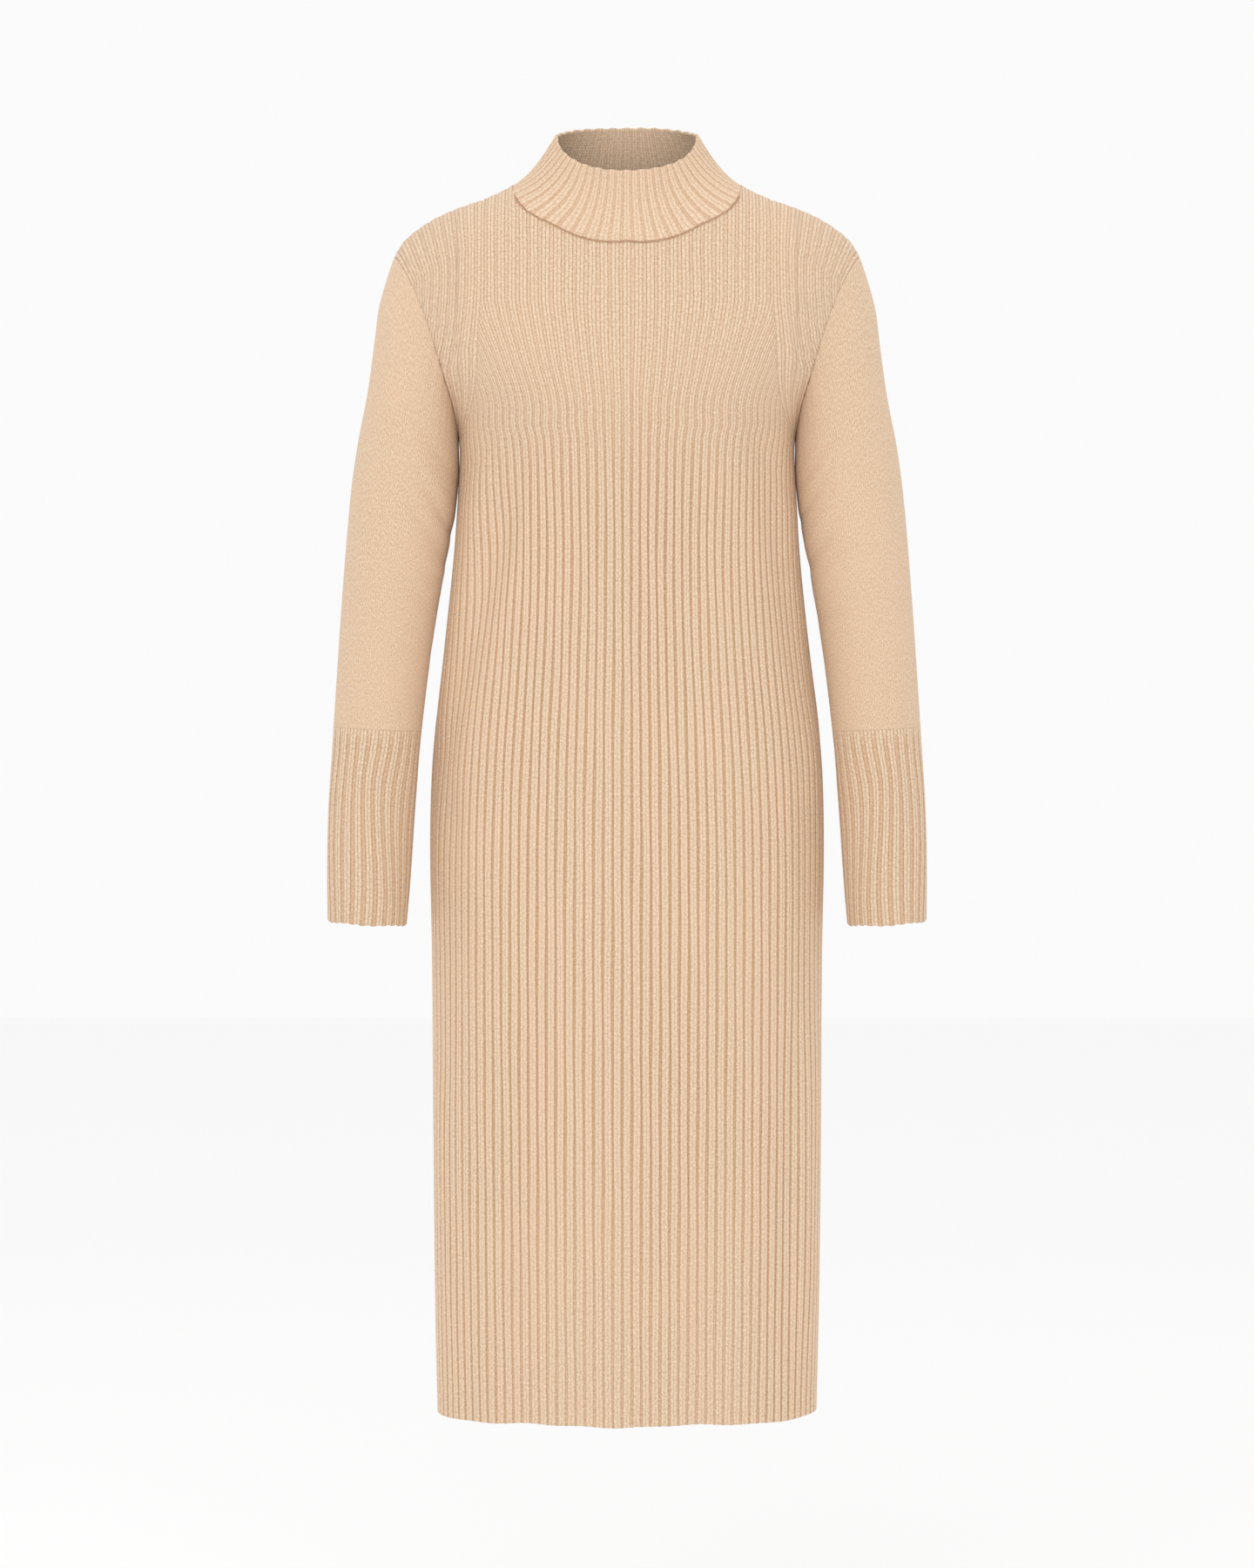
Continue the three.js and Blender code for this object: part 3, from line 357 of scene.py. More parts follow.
def half_row(side, level):
    """x, rib number and key of one half of a row, and which of its columns is the fashioned line."""
    x, distance = gauge(side, level)
    total, seam = distance[-1], edge_at(level)
    share = np.linspace(0, 1, FAN_STEPS + 1)
    if level <= 0:
        line = total * BODY_RIBS / (BODY_RIBS + BAND_RIBS)
        reach = float(read(BODY_SECTIONS, UNDERARM + level * LOWER_HEIGHT, 2 if side < 0 else 3))
        seam *= (1 - (SEAM_GAP / 2 / reach) ** SECTION_ROUND) ** (1 / SECTION_ROUND)
        sample = np.interp(line * share, distance, x)
        reached = BODY_RIBS * share
        band = BAND_RIBS
    else:
        line = np.interp(read(ARMHOLE, level, 2), x, distance)
        sample = np.interp(line * share, distance, x)
        z = height_at(side, level, sample)
        even = read(RIB_FAN, z, 1)
        reached = np.maximum.accumulate(even * share + (read(RIB_FAN, z, 2) - even) * share**3)
        band = float(read(BAND_FAN, height_at(side, level, np.array([seam]))[0], 1))
    numbers = rib_numbers(reached[-1])
    if level >= NECK_LEVEL:
        numbers = np.sort(np.concatenate([numbers, CORNER_RIBS]))
    body_x = np.interp(numbers, reached, sample)
    if level > GATHER_LEVEL:
        beyond = mix(NECK_HALF_WIDTH, sample[-1], (numbers - NECK_RIBS) / (CHEST_RIBS - NECK_RIBS))
        at_top = np.where(numbers <= NECK_RIBS, NECK_HALF_WIDTH * numbers / NECK_RIBS, beyond)
        body_x = mix(body_x, at_top, smooth(level, GATHER_LEVEL, NECK_LEVEL))
    outer = rib_numbers(band)[1:]
    band_x = np.minimum(np.interp(mix(line, total, outer / band), distance, x), seam)
    xs = np.concatenate([body_x, sample[-1:], band_x, [seam]])
    ribs = np.concatenate([numbers, reached[-1:], BAND_START + outer, [BAND_START + band]])
    keys = np.concatenate([numbers, [LINE_KEY], LINE_KEY + outer, [LINE_KEY + band]])
    return xs, ribs, keys, len(numbers)


def fold_lift(side, points):
    lift = np.zeros(points.shape[:-1])
    for where, x1, z1, x2, z2, width, height, fade in FOLDS:
        if where != side:
            continue
        run = z2 - z1
        along = (points[..., 2] - z1) / run
        past = np.maximum(np.maximum(-along, along - 1), 0) * abs(run)
        off = (points[..., 0] - mix(x1, x2, np.clip(along, -0.2, 1.2))) / width
        lift += height * np.exp(-(off**2)) * np.exp(-((past / fade) ** 2))
    return lift


def unit(v):
    return v / np.maximum(np.linalg.norm(v, axis=-1, keepdims=True), 1e-9)


def panel_surface(side, level, x, edge):
    """Crown points and normals of a panel, and how far they are from the underarm and the top edge."""
    low = level <= 0
    z = UNDERARM + np.minimum(level, 0) * LOWER_HEIGHT
    turn = np.arcsin(np.clip(x / edge, -1, 1))
    low_point = np.stack([x, side * depth_at(side, x, z), z], -1)

    def low_at(step_turn, step_z):
        place = np.clip(z + step_z, -BODY_LENGTH, UNDERARM)
        bent = np.clip(turn + step_turn, -QUARTER_TURN, QUARTER_TURN)
        px = read(BODY_SECTIONS, place, 1) * np.sin(bent)
        return np.stack([px, side * depth_at(side, px, place), place], -1)

    low_normal = np.cross(low_at(0.004, 0) - low_at(-0.004, 0), low_at(0, 3) - low_at(0, -3)) * -side
    station, reached, whole = station_at_level(side, np.maximum(level, 0), x)
    across = station_point(x + 0.1, station) - station_point(x - 0.1, station)
    upward = station_point(x, station + 0.01) - station_point(x, station - 0.01)
    high_normal = np.cross(across, upward)
    point = np.where(low[:, None], low_point, station_point(x, station))
    normal = unit(np.where(low[:, None], low_normal, high_normal))
    length = np.where(low, level * LOWER_HEIGHT, reached)
    to_top = np.where(low, whole, whole - reached)
    return point, normal, length, to_top


def rib_shape(rib, furrow, soft):
    """Height of a rib between 0 in its furrow and 1 on its crown. furrow is half its width, in ribs."""
    phase = np.abs(rib - np.round(rib))
    rise = 1 - smooth(phase, 0.5 - furrow - soft, 0.5 - furrow + soft)
    return rise * (1 - 0.2 * (phase / 0.5) ** 2)


def resample(values, count):
    """Evenly spaced indices into a row."""
    return np.unique(np.round(np.linspace(0, values - 1, count)).astype(int))


def seam_roll(distance):
    """How far a piece turns in near a seam, between 0 and 1."""
    return (1 - np.clip(distance / SEAM_REACH, 0, 1)) ** 2


def edge_round(distance):
    """How far a face of the cloth is rounded off near an open edge."""
    t = 1 - np.clip(distance / EDGE_REACH, 0, 1)
    return EDGE_ROUND * (1 - np.sqrt(1 - t**2))


def with_edge_rows(shares, length, at_start, at_end):
    """Adds finer rows near the ends of a piece of this length."""
    fine = EDGE_ROWS / length
    parts = [shares]
    if at_start:
        parts.append(shares[0] + fine)
    if at_end:
        parts.append(shares[-1] - fine)
    return np.unique(np.concatenate(parts))


class Cloth:
    """Gathers points, the corners that lie on them with their places in the knit, and the faces."""

    def __init__(self):
        self.points = []
        self.furrow = []
        self.shade = []
        self.places = []
        self.knit = []
        self.faces = []
        self.count = 0
        self.corners = 0

    def number(self, places, knit):
        self.places.append(places.ravel())
        self.knit.append(np.broadcast_to(knit, places.shape + (2,)).reshape(-1, 2))
        corners = np.arange(self.corners, self.corners + places.size).reshape(places.shape)
        self.corners += places.size
        return corners

    def add(self, points, knit, furrow, shade):
        """New points, each with one corner."""
        shape = points.shape[:-1]
        self.points.append(points.reshape(-1, 3))
        self.furrow.append(np.broadcast_to(furrow, shape).ravel())
        self.shade.append(np.broadcast_to(shade, shape).ravel())
        places = np.arange(self.count, self.count + int(np.prod(shape))).reshape(shape)
        self.count += places.size
        return self.number(places, knit)

    def again(self, corners, knit):
        """Second corners on points that have one, at another place in the knit."""
        return self.number(np.concatenate(self.places)[corners], knit)

    def grid(self, index, flipped):
        a, b = index[:-1, :-1].ravel(), index[:-1, 1:].ravel()
        c, d = index[1:, 1:].ravel(), index[1:, :-1].ravel()
        self.faces.append(np.stack([a, b, c, d] if not flipped else [d, c, b, a], 1))

    def zip(self, a, a_keys, b, b_keys, flipped):
        """Joins two rows whose vertices are sorted by key: quads where the keys agree."""
        i = j = 0
        quads, triangles = [], []
        n, m = len(a) - 1, len(b) - 1
        while i < n or j < m:
            next_a = a_keys[i + 1] if i < n else math.inf
            next_b = b_keys[j + 1] if j < m else math.inf
            if i < n and j < m and (abs(next_a - next_b) < 1e-6 or (i == n - 1 and j == m - 1)):
                quads.append((a[i], a[i + 1], b[j + 1], b[j]))
                i, j = i + 1, j + 1
            elif next_a < next_b:
                triangles.append((a[i], a[i + 1], b[j]))
                i += 1
            else:
                triangles.append((a[i], b[j + 1], b[j]))
                j += 1
        for faces in (quads, triangles):
            if faces:
                made = np.array(faces)
                self.faces.append(made[:, ::-1] if flipped else made)

    def strip(self, a, b, flipped):
        """Joins two rows that may have different numbers of vertices, spread over the same length."""
        self.zip(a, np.linspace(0, 1, len(a)), b, np.linspace(0, 1, len(b)), flipped)

    def build(self, name, material, node):
        mesh = bpy.data.meshes.new(name)
        points = np.concatenate(self.points) * MM
        places, knit = np.concatenate(self.places), np.concatenate(self.knit)
        corners = np.concatenate([part.ravel() for part in self.faces])
        totals = np.concatenate([np.full(len(part), part.shape[1]) for part in self.faces])
        starts = np.concatenate([[0], np.cumsum(totals)[:-1]])
        mesh.vertices.add(len(points))
        mesh.vertices.foreach_set("co", points.ravel())
        mesh.loops.add(len(corners))
        mesh.loops.foreach_set("vertex_index", places[corners])
        mesh.polygons.add(len(starts))
        mesh.polygons.foreach_set("loop_start", starts)
        mesh.polygons.foreach_set("loop_total", totals)
        mesh.polygons.foreach_set("use_smooth", np.ones(len(starts), dtype=bool))
        layer = mesh.uv_layers.new(name="knit")
        layer.data.foreach_set("uv", knit[corners].ravel())
        for attribute, values in (("furrow", self.furrow), ("shade", self.shade)):
            made = mesh.attributes.new(attribute, "FLOAT", "POINT")
            made.data.foreach_set("value", np.concatenate(values))
        mesh.update()
        mesh.validate()
        mesh.materials.append(material)
        obj = bpy.data.objects.new(name, mesh)
        bpy.context.collection.objects.link(obj)
        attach(obj, "root")
        if node:
            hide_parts(node)
        return obj


def row_arcs(point, starts, lines):
    """Distance of each point of a panel's rows to the row's ends and to its two fashioned lines."""
    to_edge, to_line = [], []
    for start, end, line in zip(starts[:-1], starts[1:], lines):
        steps = np.linalg.norm(np.diff(point[start:end], axis=0), axis=1)
        arc = np.concatenate([[0], np.cumsum(steps)])
        to_edge.append(np.minimum(arc, arc[-1] - arc))
        left, right = arc[end - start - 1 - line], arc[line]
        to_line.append(np.minimum(np.abs(arc - left), np.abs(arc - right)))
    return np.concatenate(to_edge), np.concatenate(to_line)


def panel(name, side, material):
    lower = with_edge_rows(np.linspace(-1, 0, LOWER_ROWS + 1), LOWER_HEIGHT, True, False)
    upper = with_edge_rows(np.linspace(0, 1, UPPER_ROWS + 1)[1:], -UNDERARM, False, True)
    levels = np.concatenate([lower, upper])
    halves = [half_row(side, level) for level in levels]
    x = np.concatenate([np.concatenate([-xs[:0:-1], xs]) for xs, _, _, _ in halves])
    rib = np.concatenate([np.concatenate([-ribs[:0:-1], ribs]) for _, ribs, _, _ in halves])
    keys = [np.concatenate([-row_keys[:0:-1], row_keys]) for _, _, row_keys, _ in halves]
    sizes = np.array([len(row_keys) for row_keys in keys])
    starts = np.concatenate([[0], np.cumsum(sizes)])
    centres = np.array([len(xs) - 1 for xs, _, _, _ in halves])
    line_steps = np.array([line for _, _, _, line in halves])
    level = np.repeat(levels, sizes)
    edge = np.repeat([edge_at(each) for each in levels], sizes)

    number = np.abs(rib)
    number = np.where(number >= BAND_START, number - BAND_START + BODY_RIBS, number) * np.sign(rib)
    inward = np.sqrt(np.clip(1 - (x / edge) ** 2, 0, 1)) * smooth(1 - level, 0, 0.15)
    height = UNDERARM + level * np.where(level > 0, -UNDERARM, LOWER_HEIGHT)
    stray = np.sin(height / 43 + 1.7 * np.round(number)) + 0.6 * np.sin(height / 19 + 0.9 * np.round(number))
    x = x + WANDER * stray * inward * np.minimum(np.abs(x) / 4, 1)
    point, normal, length, to_top = panel_surface(side, level, x, edge)
    to_edge, to_line = row_arcs(point, starts, centres + line_steps)
    point = point + normal * (fold_lift(side, point) * smooth(to_edge, 0, 12))[:, None]

    stretched = smooth(point[:, 2], STRETCH_LOW, STRETCH_HIGH)
    furrow = mix(FURROW_AT_REST, FURROW_STRETCHED, stretched)
    shape = rib_shape(number, furrow, 0.06)
    uneven = 1 + 0.12 * np.sin(12.9898 * np.round(number))
    to_hem = (level + 1) * LOWER_HEIGHT
    roll = np.where(level > 0, SHOULDER_ROLL * smooth(level, 0.4, 0.9), SIDE_ROLL * smooth(-level, 0.05, 0.12))
    across = np.minimum(np.abs(x) / NECK_HALF_WIDTH, 1)
    neck_roll = NECK_ROLL * smooth(np.sqrt(1 - across**2), *NECK_ENDS)
    top_roll = np.where(across < 1, neck_roll, SHOULDER_ROLL)
    groove = LINE_SINK * np.exp(-((to_line / LINE_REACH) ** 2)) * smooth(level, 0, 0.08)
    sink = mix(RIB_RISE, STRETCHED_RISE, stretched) * uneven * (1 - shape) + groove
    sink += np.maximum(roll * seam_roll(to_edge), top_roll * seam_roll(to_top)) + edge_round(to_hem)
    hem = HEM_WAVE * (np.sin(x / 21 + side) + 0.5 * np.sin(x / 8.3) + 0.35 * (shape - 1))
    point[:, 2] += hem * smooth(-level, 0.93, 1)
    outer = point - normal * sink[:, None]
    inner = point - normal * (RIB_WALL - edge_round(to_hem))[:, None]
    knit = np.stack([rib, length / COURSE], -1)

    cloth = Cloth()
    # How far the furrows' painted shade is halved: towards the hem, but not at the sides
    hem_fainter_shade = smooth(-point[:, 2], *HEM_SOFT) * (1 - smooth(np.abs(x), *HEM_SIDES))
    top = cloth.add(outer, knit, furrow, mix(1, 0.3, stretched) * (1 - 0.5 * hem_fainter_shade))
    bands = []
    for sign in (-1, 1):
        lines = starts[:-1] + centres + sign * line_steps
        beside = np.stack([np.full(len(levels), float(sign * BAND_START)), length[lines] / COURSE], -1)
        bands.append(cloth.again(top[lines], beside))
    flipped = side > 0
    body_rows, left_rows, right_rows = [], [], []
    for k in range(len(levels)):
        row = top[starts[k]:starts[k + 1]]
        left, right = centres[k] - line_steps[k], centres[k] + line_steps[k]
        body_rows.append((row[left:right + 1], keys[k][left:right + 1]))
        left_rows.append((np.append(row[:left], bands[0][k]), keys[k][:left + 1]))
        right_rows.append((np.insert(row[right + 1:], 0, bands[1][k]), keys[k][right:]))
    for rows in (body_rows, left_rows, right_rows):
        for (low, low_keys), (high, high_keys) in zip(rows[:-1], rows[1:]):
            cloth.zip(low, low_keys, high, high_keys, flipped)

    picked = resample(len(levels), len(levels) // INSIDE_STEP)
    inside = np.stack([starts[k] + resample(sizes[k], INSIDE_COLUMNS) for k in picked])
    under = cloth.add(inner[inside], knit[inside], furrow[inside], 0.6)
    cloth.grid(under, not flipped)
    first, last = top[starts[0]:starts[1]], top[starts[-2]:starts[-1]]
    cloth.strip(under[0], first, flipped)
    cloth.strip(last, under[-1], flipped)
    cloth.strip(top[starts[:-1]], under[:, 0], flipped)
    cloth.strip(under[:, -1], top[starts[1:] - 1], flipped)
    return cloth.build(name, material, name.replace("knit_", ""))


def edge_loop(side):
    """The armhole edge of a panel on the +x side, from the underarm to the shoulder."""
    levels = np.linspace(0, 1, 81)
    x = read(ARMHOLE, levels, 1)
    points = station_point(x, station_at_level(side, levels, x)[0])
    points[0] = (x[0], side * SEAM_GAP / 2, UNDERARM)
    return points


def armhole_loop():
    up, down = edge_loop(-1), edge_loop(1)[::-1]
    loop = np.concatenate([up, down])
    lengths = np.concatenate([[0], np.cumsum(np.linalg.norm(np.diff(loop, axis=0), axis=1))])
    top = (lengths[len(up) - 1] + lengths[len(up)]) / 2
    share = np.where(lengths < top, lengths / top - 1, (lengths - top) / (lengths[-1] + SEAM_GAP - top))
    return share * math.pi, loop


def sleeve_section(share, key):
    past = np.maximum(share - 1, 0) / CUFF_SHARE
    t = np.minimum(share, 1)
    z_out = mix(SLEEVE_OUTER[-1][0], -SLEEVE_DROP + CUFF_TILT, t) - past * CUFF_LENGTH
    z_in = mix(UNDERARM, -SLEEVE_DROP - CUFF_TILT, t) - past * CUFF_LENGTH
    forward = read(SLEEVE_DEPTH, share, 2)
    half_depth = read(SLEEVE_DEPTH, share, 1)
    x_out, x_in = read(SLEEVE_OUTER, z_out, 1), read(SLEEVE_INNER, z_in, 1)
    cos, sin = np.cos(key), np.sin(key)
    x = (x_out + x_in) / 2 + (x_out - x_in) / 2 * cos
    z = (z_out + z_in) / 2 + (z_out - z_in) / 2 * cos
    return np.stack([x, -forward + half_depth * sin, z], -1)


def sleeve_point(loop, share, key):
    keys, points = loop
    point = sleeve_section(share, key)
    delta = points - sleeve_section(np.zeros(len(keys)), keys)
    turned = (key - keys[0]) % FULL_TURN + keys[0]
    closed = np.concatenate([keys, [keys[0] + FULL_TURN]])
    moved = [np.interp(turned, closed, np.concatenate([delta[:, i], delta[:1, i]])) for i in range(3)]
    fade = 1 - smooth(share, 0, CAP_FADE)
    return point + np.stack(moved, -1) * fade[..., None]


def surface_normal(place, share, key, low):
    step = 0.01
    along = place(np.maximum(share + step, low), key) - place(np.maximum(share - step, low), key)
    around = place(share, key + step) - place(share, key - step)
    return unit(np.cross(around, along))


def sewn_in(point, normal):
    """From a tube's first ring to the edge of the cloth that is sewn in behind its neighbour."""
    back = np.cross(normal[0], np.gradient(point[0], axis=0))
    back *= np.sign((back * (point[0] - point[1])).sum(axis=-1, keepdims=True))
    return TUCK_REACH * unit(back) - TUCK_DEPTH * normal[0]


def tube_arc(points):
    steps = np.linalg.norm(np.diff(points, axis=0), axis=-1)
    return np.concatenate([np.zeros((1, points.shape[1])), np.cumsum(steps, axis=0)])


def tube(name, place, shares, columns, wall, form, count, material, mirrored, outward, open_end):
    """A tube's outer wall, its plain inside and the faces at its two ends.

    form gives how far the wall sinks, how far it turns in at its first seam, and the furrow's width and the
    strength of its painted shade.
    """
    keys = np.linspace(0, FULL_TURN, columns + 1)
    share, key = np.meshgrid(shares, keys, indexing="ij")
    point = place(share, key)
    normal = surface_normal(place, share, key, shares[0]) * outward
    arc = tube_arc(point)
    sink, roll, furrow, shade = form(share, key)
    rounded = edge_round(arc[-1] - arc) if open_end else np.zeros_like(arc)
    outer = point - normal * (sink + roll * seam_roll(arc) + rounded)[..., None]
    inner = point - normal * (wall - rounded)[..., None]
    tuck = sewn_in(point, normal)
    outer, inner = (np.concatenate([face[:1] + tuck, face]) for face in (outer, inner))
    if mirrored:
        outer, inner = outer * (-1, 1, 1), inner * (-1, 1, 1)
    course = arc.mean(axis=1, keepdims=True) / COURSE * np.ones_like(arc)
    knit = np.stack([key / FULL_TURN * count, course], -1)
    knit, furrow, shade = (np.concatenate([value[:1], value]) for value in (
        knit, np.broadcast_to(furrow, key.shape), np.broadcast_to(shade, key.shape)))
    rows, cols = resample(len(knit), len(knit) // 2), resample(columns + 1, columns // 2 + 1)
    picked = np.ix_(rows, cols)
    cloth = Cloth()
    top = cloth.add(outer[:, :-1], knit[:, :-1], furrow[:, :-1], shade[:, :-1])
    top = np.concatenate([top, cloth.again(top[:, 0], knit[:, -1])[:, None]], 1)
    dark = INSIDE_SHADE * shade[picked][:, :-1]
    under = cloth.add(inner[picked][:, :-1], knit[picked][:, :-1], furrow[picked][:, :-1], dark)
    under = np.concatenate([under, cloth.again(under[:, 0], knit[picked][:, -1])[:, None]], 1)
    flipped = mirrored == (outward > 0)
    cloth.grid(top, flipped)
    cloth.grid(under, not flipped)
    cloth.strip(under[0], top[0], flipped)
    cloth.strip(top[-1], under[-1], flipped)
    return cloth.build(name, material, name.replace("knit_", ""))


def crease_lift(creases, share, key):
    lift = np.zeros_like(share)
    for middle, turn, reach, width, slant, height in creases:
        round_off = (key / FULL_TURN - turn + 0.5) % 1 - 0.5
        off = (share - middle - slant * round_off) / width
        lift += height * np.exp(-(off**2)) * np.exp(-((round_off / reach) ** 2))
    return lift


def sleeve(name, loop, creases, mirrored, material):
    shares = with_edge_rows(np.linspace(0.0015, 1, SLEEVE_ROWS + 1), -UNDERARM, True, True)

    def place(share, key):
        return sleeve_point(loop, share, key)

    def form(share, key):
        roll = mix(SHOULDER_ROLL, UNDERARM_ROLL, smooth(1 - np.cos(key), 0, 1))
        calm = smooth(share, 0, 0.05) * smooth(1 - share, 0, 0.05)
        return -crease_lift(creases, share, key) * calm, roll, 0.1, 0.0

    wales = round(SLEEVE_GIRTH / PLAIN_WALE)
    return tube(name, place, shares, SLEEVE_COLUMNS, PLAIN_WALL, form, wales, material,
                mirrored, -1, False)


def cuff(name, loop, mirrored, material):
    start = 1 + SEAM_GAP / CUFF_LENGTH * CUFF_SHARE
    shares = np.linspace(start, 1 + CUFF_SHARE, CUFF_ROWS + 1)
    shares = with_edge_rows(shares, CUFF_LENGTH / CUFF_SHARE, True, True)

    def place(share, key):
        down = (share - 1) / CUFF_SHARE
        drift = CUFF_DRIFT * (np.sin(FULL_TURN * 0.8 * down) + 0.4 * np.sin(key * 3 + 5 * down))
        point = sleeve_point(loop, share, key + FULL_TURN * drift * smooth(down, 0, 0.3))
        wave = 0.5 * np.sin(5 * key) + 0.5 * np.cos(key * CUFF_RIBS)
        point[..., 2] += wave * smooth(down, 0.95, 1)
        return point

    def form(share, key):
        down = (share - 1) / CUFF_SHARE
        shape = rib_shape(key / FULL_TURN * CUFF_RIBS, 0.17, 0.09)
        rise = CUFF_RISE * smooth(down, -0.01, 0.06)
        swell = 0.8 * np.sin(2 * key + 4 * down) * smooth(down, 0.05, 0.3)
        return rise * (1 - shape) - swell, 0.0, 0.18, mix(0.2, 0.7, smooth(down, 0, 0.07))

    return tube(name, place, shares, CUFF_COLUMNS, RIB_WALL, form, CUFF_RIBS, material,
                mirrored, -1, True)


def neck_loop():
    """The neckline from the centre of the front, counter-clockwise from above."""
    turn = np.linspace(0, QUARTER_TURN, 121)
    x = NECK_HALF_WIDTH * np.sin(turn)
    front = station_point(x, top_line(-1, x))
    back = station_point(x, top_line(1, x))[::-1]
    right = np.concatenate([front, back])
    left = (right * (-1, 1, 1))[::-1][1:-1]
    loop = np.concatenate([right, left])
    reach = np.where(loop[:, 1] < 0, NECK_FRONT_REACH, NECK_BACK_REACH)
    keys = np.arctan2(loop[:, 0] / NECK_HALF_WIDTH, -loop[:, 1] / reach) % FULL_TURN
    keys[0] = 0
    return keys, loop


def collar_point(loop, share, key):
    keys, points = loop
    turned = key % FULL_TURN
    closed = np.concatenate([keys, [FULL_TURN]])
    base = [np.interp(turned, closed, np.concatenate([points[:, i], points[:1, i]])) for i in range(3)]
    base = np.stack(base, -1)
    cos, sin = np.cos(turned), np.sin(turned)
    dip = mix(np.maximum(cos, 0) ** RIM_DIP, (1 + cos) / 2, RIM_LEAN)
    reach = np.where(cos > 0, RIM_FRONT, RIM_BACK)
    top = np.stack([RIM_HALF_WIDTH * sin, -reach * cos, mix(RIM_BACK_HEIGHT, RIM_FRONT_HEIGHT, dip)], -1)
    end = np.where(cos > 0, HOLLOW_FRONT, HOLLOW_BACK)
    corner = HOLLOW_CORNER * (2 * sin * np.maximum(cos, 0)) ** 2
    profile = np.sin(math.pi * share ** mix(HOLLOW_LOW, 1, cos**2))
    hollow = (mix(HOLLOW_SIDE, end, cos**2) + corner) * profile
    away = np.stack([-sin * hollow, cos * hollow, np.zeros_like(hollow)], -1)
    return base + (top - base) * share[..., None] + away


def collar(name, loop, material):
    shares = with_edge_rows(np.linspace(0.004, 1, COLLAR_ROWS + 1), 85, True, True)

    def place(share, key):
        point = collar_point(loop, np.minimum(share, 1), key)
        bumps = RIM_WAVE * np.cos(key * COLLAR_RIBS / 2) + 0.3 * np.sin(5 * key + 1)
        point[..., 2] += bumps * smooth(share, 0.9, 1)
        return point

    def form(share, key):
        rib = key / FULL_TURN * COLLAR_RIBS
        front = np.maximum(np.cos(key), 0) ** 2
        shape = rib_shape(rib, 0.12, 0.07)
        rise = COLLAR_RISE * mix(1, 0.55, front) * mix(0.4, 1, smooth(share, 0, 0.3))
        uneven = 1 + 0.15 * np.sin(12.9898 * np.round(rib))
        roll = NECK_ROLL * smooth(np.abs(np.cos(key)), *NECK_ENDS)
        return rise * uneven * (1 - shape), roll, 0.12, mix(0.85, 0.55, front)

    return tube(name, place, shares, COLLAR_COLUMNS, RIB_WALL, form, COLLAR_RIBS, material,
                False, 1, True)


# Materials
STITCH_LEAN = 0.9  # how much of a course a stitch's legs lean
# Painted shade in the gaps between wales, deeper where the ribs are stretched wide
WALE_GAP_SHADE_TINT = (0.80, 0.70, 0.60, 1)
STRETCHED_GAP_SHADE_TINT = (0.56, 0.44, 0.34, 1)
# Painted shade in the furrows between ribs, multiplied into the yarn's colour
FURROW_SHADE_TINT = (0.76, 0.63, 0.51, 1)
FURROW_AT_REST = 0.11
FURROW_STRETCHED = 0.167


def node(tree, kind, **settings):
    made = tree.nodes.new(kind)
    for name, value in settings.items():
        setattr(made, name, value)
    return made


def link(tree, a, out, b, into):
    tree.links.new(a.outputs[out], b.inputs[into])


def set_input(tree, socket, value):
    if isinstance(value, (int, float, tuple)):
        socket.default_value = value
    else:
        tree.links.new(value, socket)


def math_node(tree, operation, a, b=None):
    made = node(tree, "ShaderNodeMath", operation=operation)
    set_input(tree, made.inputs[0], a)
    if b is not None:
        set_input(tree, made.inputs[1], b)
    return made.outputs[0]


def cosine(tree, turns):
    return math_node(tree, "COSINE", math_node(tree, "MULTIPLY", turns, FULL_TURN))


def noise(tree, source, out, scale, detail):
    made = node(tree, "ShaderNodeTexNoise")
    made.inputs["Scale"].default_value = scale
    made.inputs["Detail"].default_value = detail
    made.inputs["Roughness"].default_value = 0.65
    link(tree, source, out, made, 0)
    return made.outputs[0]


def ranged(tree, value, low, high, bottom=0.0, top=1.0):
    made = node(tree, "ShaderNodeMapRange")
    made.inputs["From Min"].default_value = low
    made.inputs["From Max"].default_value = high
    made.inputs["To Min"].default_value = bottom
    made.inputs["To Max"].default_value = top
    tree.links.new(value, made.inputs["Value"])
    return made.outputs[0]


def blend(tree, share, first, second, how="MIX"):
    made = node(tree, "ShaderNodeMix", data_type="RGBA", blend_type=how)
    for socket, value in ((0, share), (6, first), (7, second)):
        set_input(tree, made.inputs[socket], value)
    return made.outputs[2]


def float_blend(tree, share, first, second):
    made = node(tree, "ShaderNodeMix", data_type="FLOAT")
    for socket, value in ((0, share), (2, first), (3, second)):
        set_input(tree, made.inputs[socket], value)
    return made.outputs[0]


def knit_wale(tree, wale, course):
    """Height of a wale's stitches, and its round shape. wale runs from 0 to 1 across it."""
    from_middle = math_node(tree, "ABSOLUTE", math_node(tree, "SUBTRACT", wale, 0.5))
    lean = math_node(tree, "MULTIPLY", from_middle, STITCH_LEAN)
    wave = cosine(tree, math_node(tree, "SUBTRACT", course, lean))
    dome = math_node(tree, "SINE", math_node(tree, "MULTIPLY", wale, math.pi))
    stitch = math_node(tree, "ADD", math_node(tree, "MULTIPLY", wave, 0.3), 0.7)
    return math_node(tree, "MULTIPLY", stitch, dome), dome


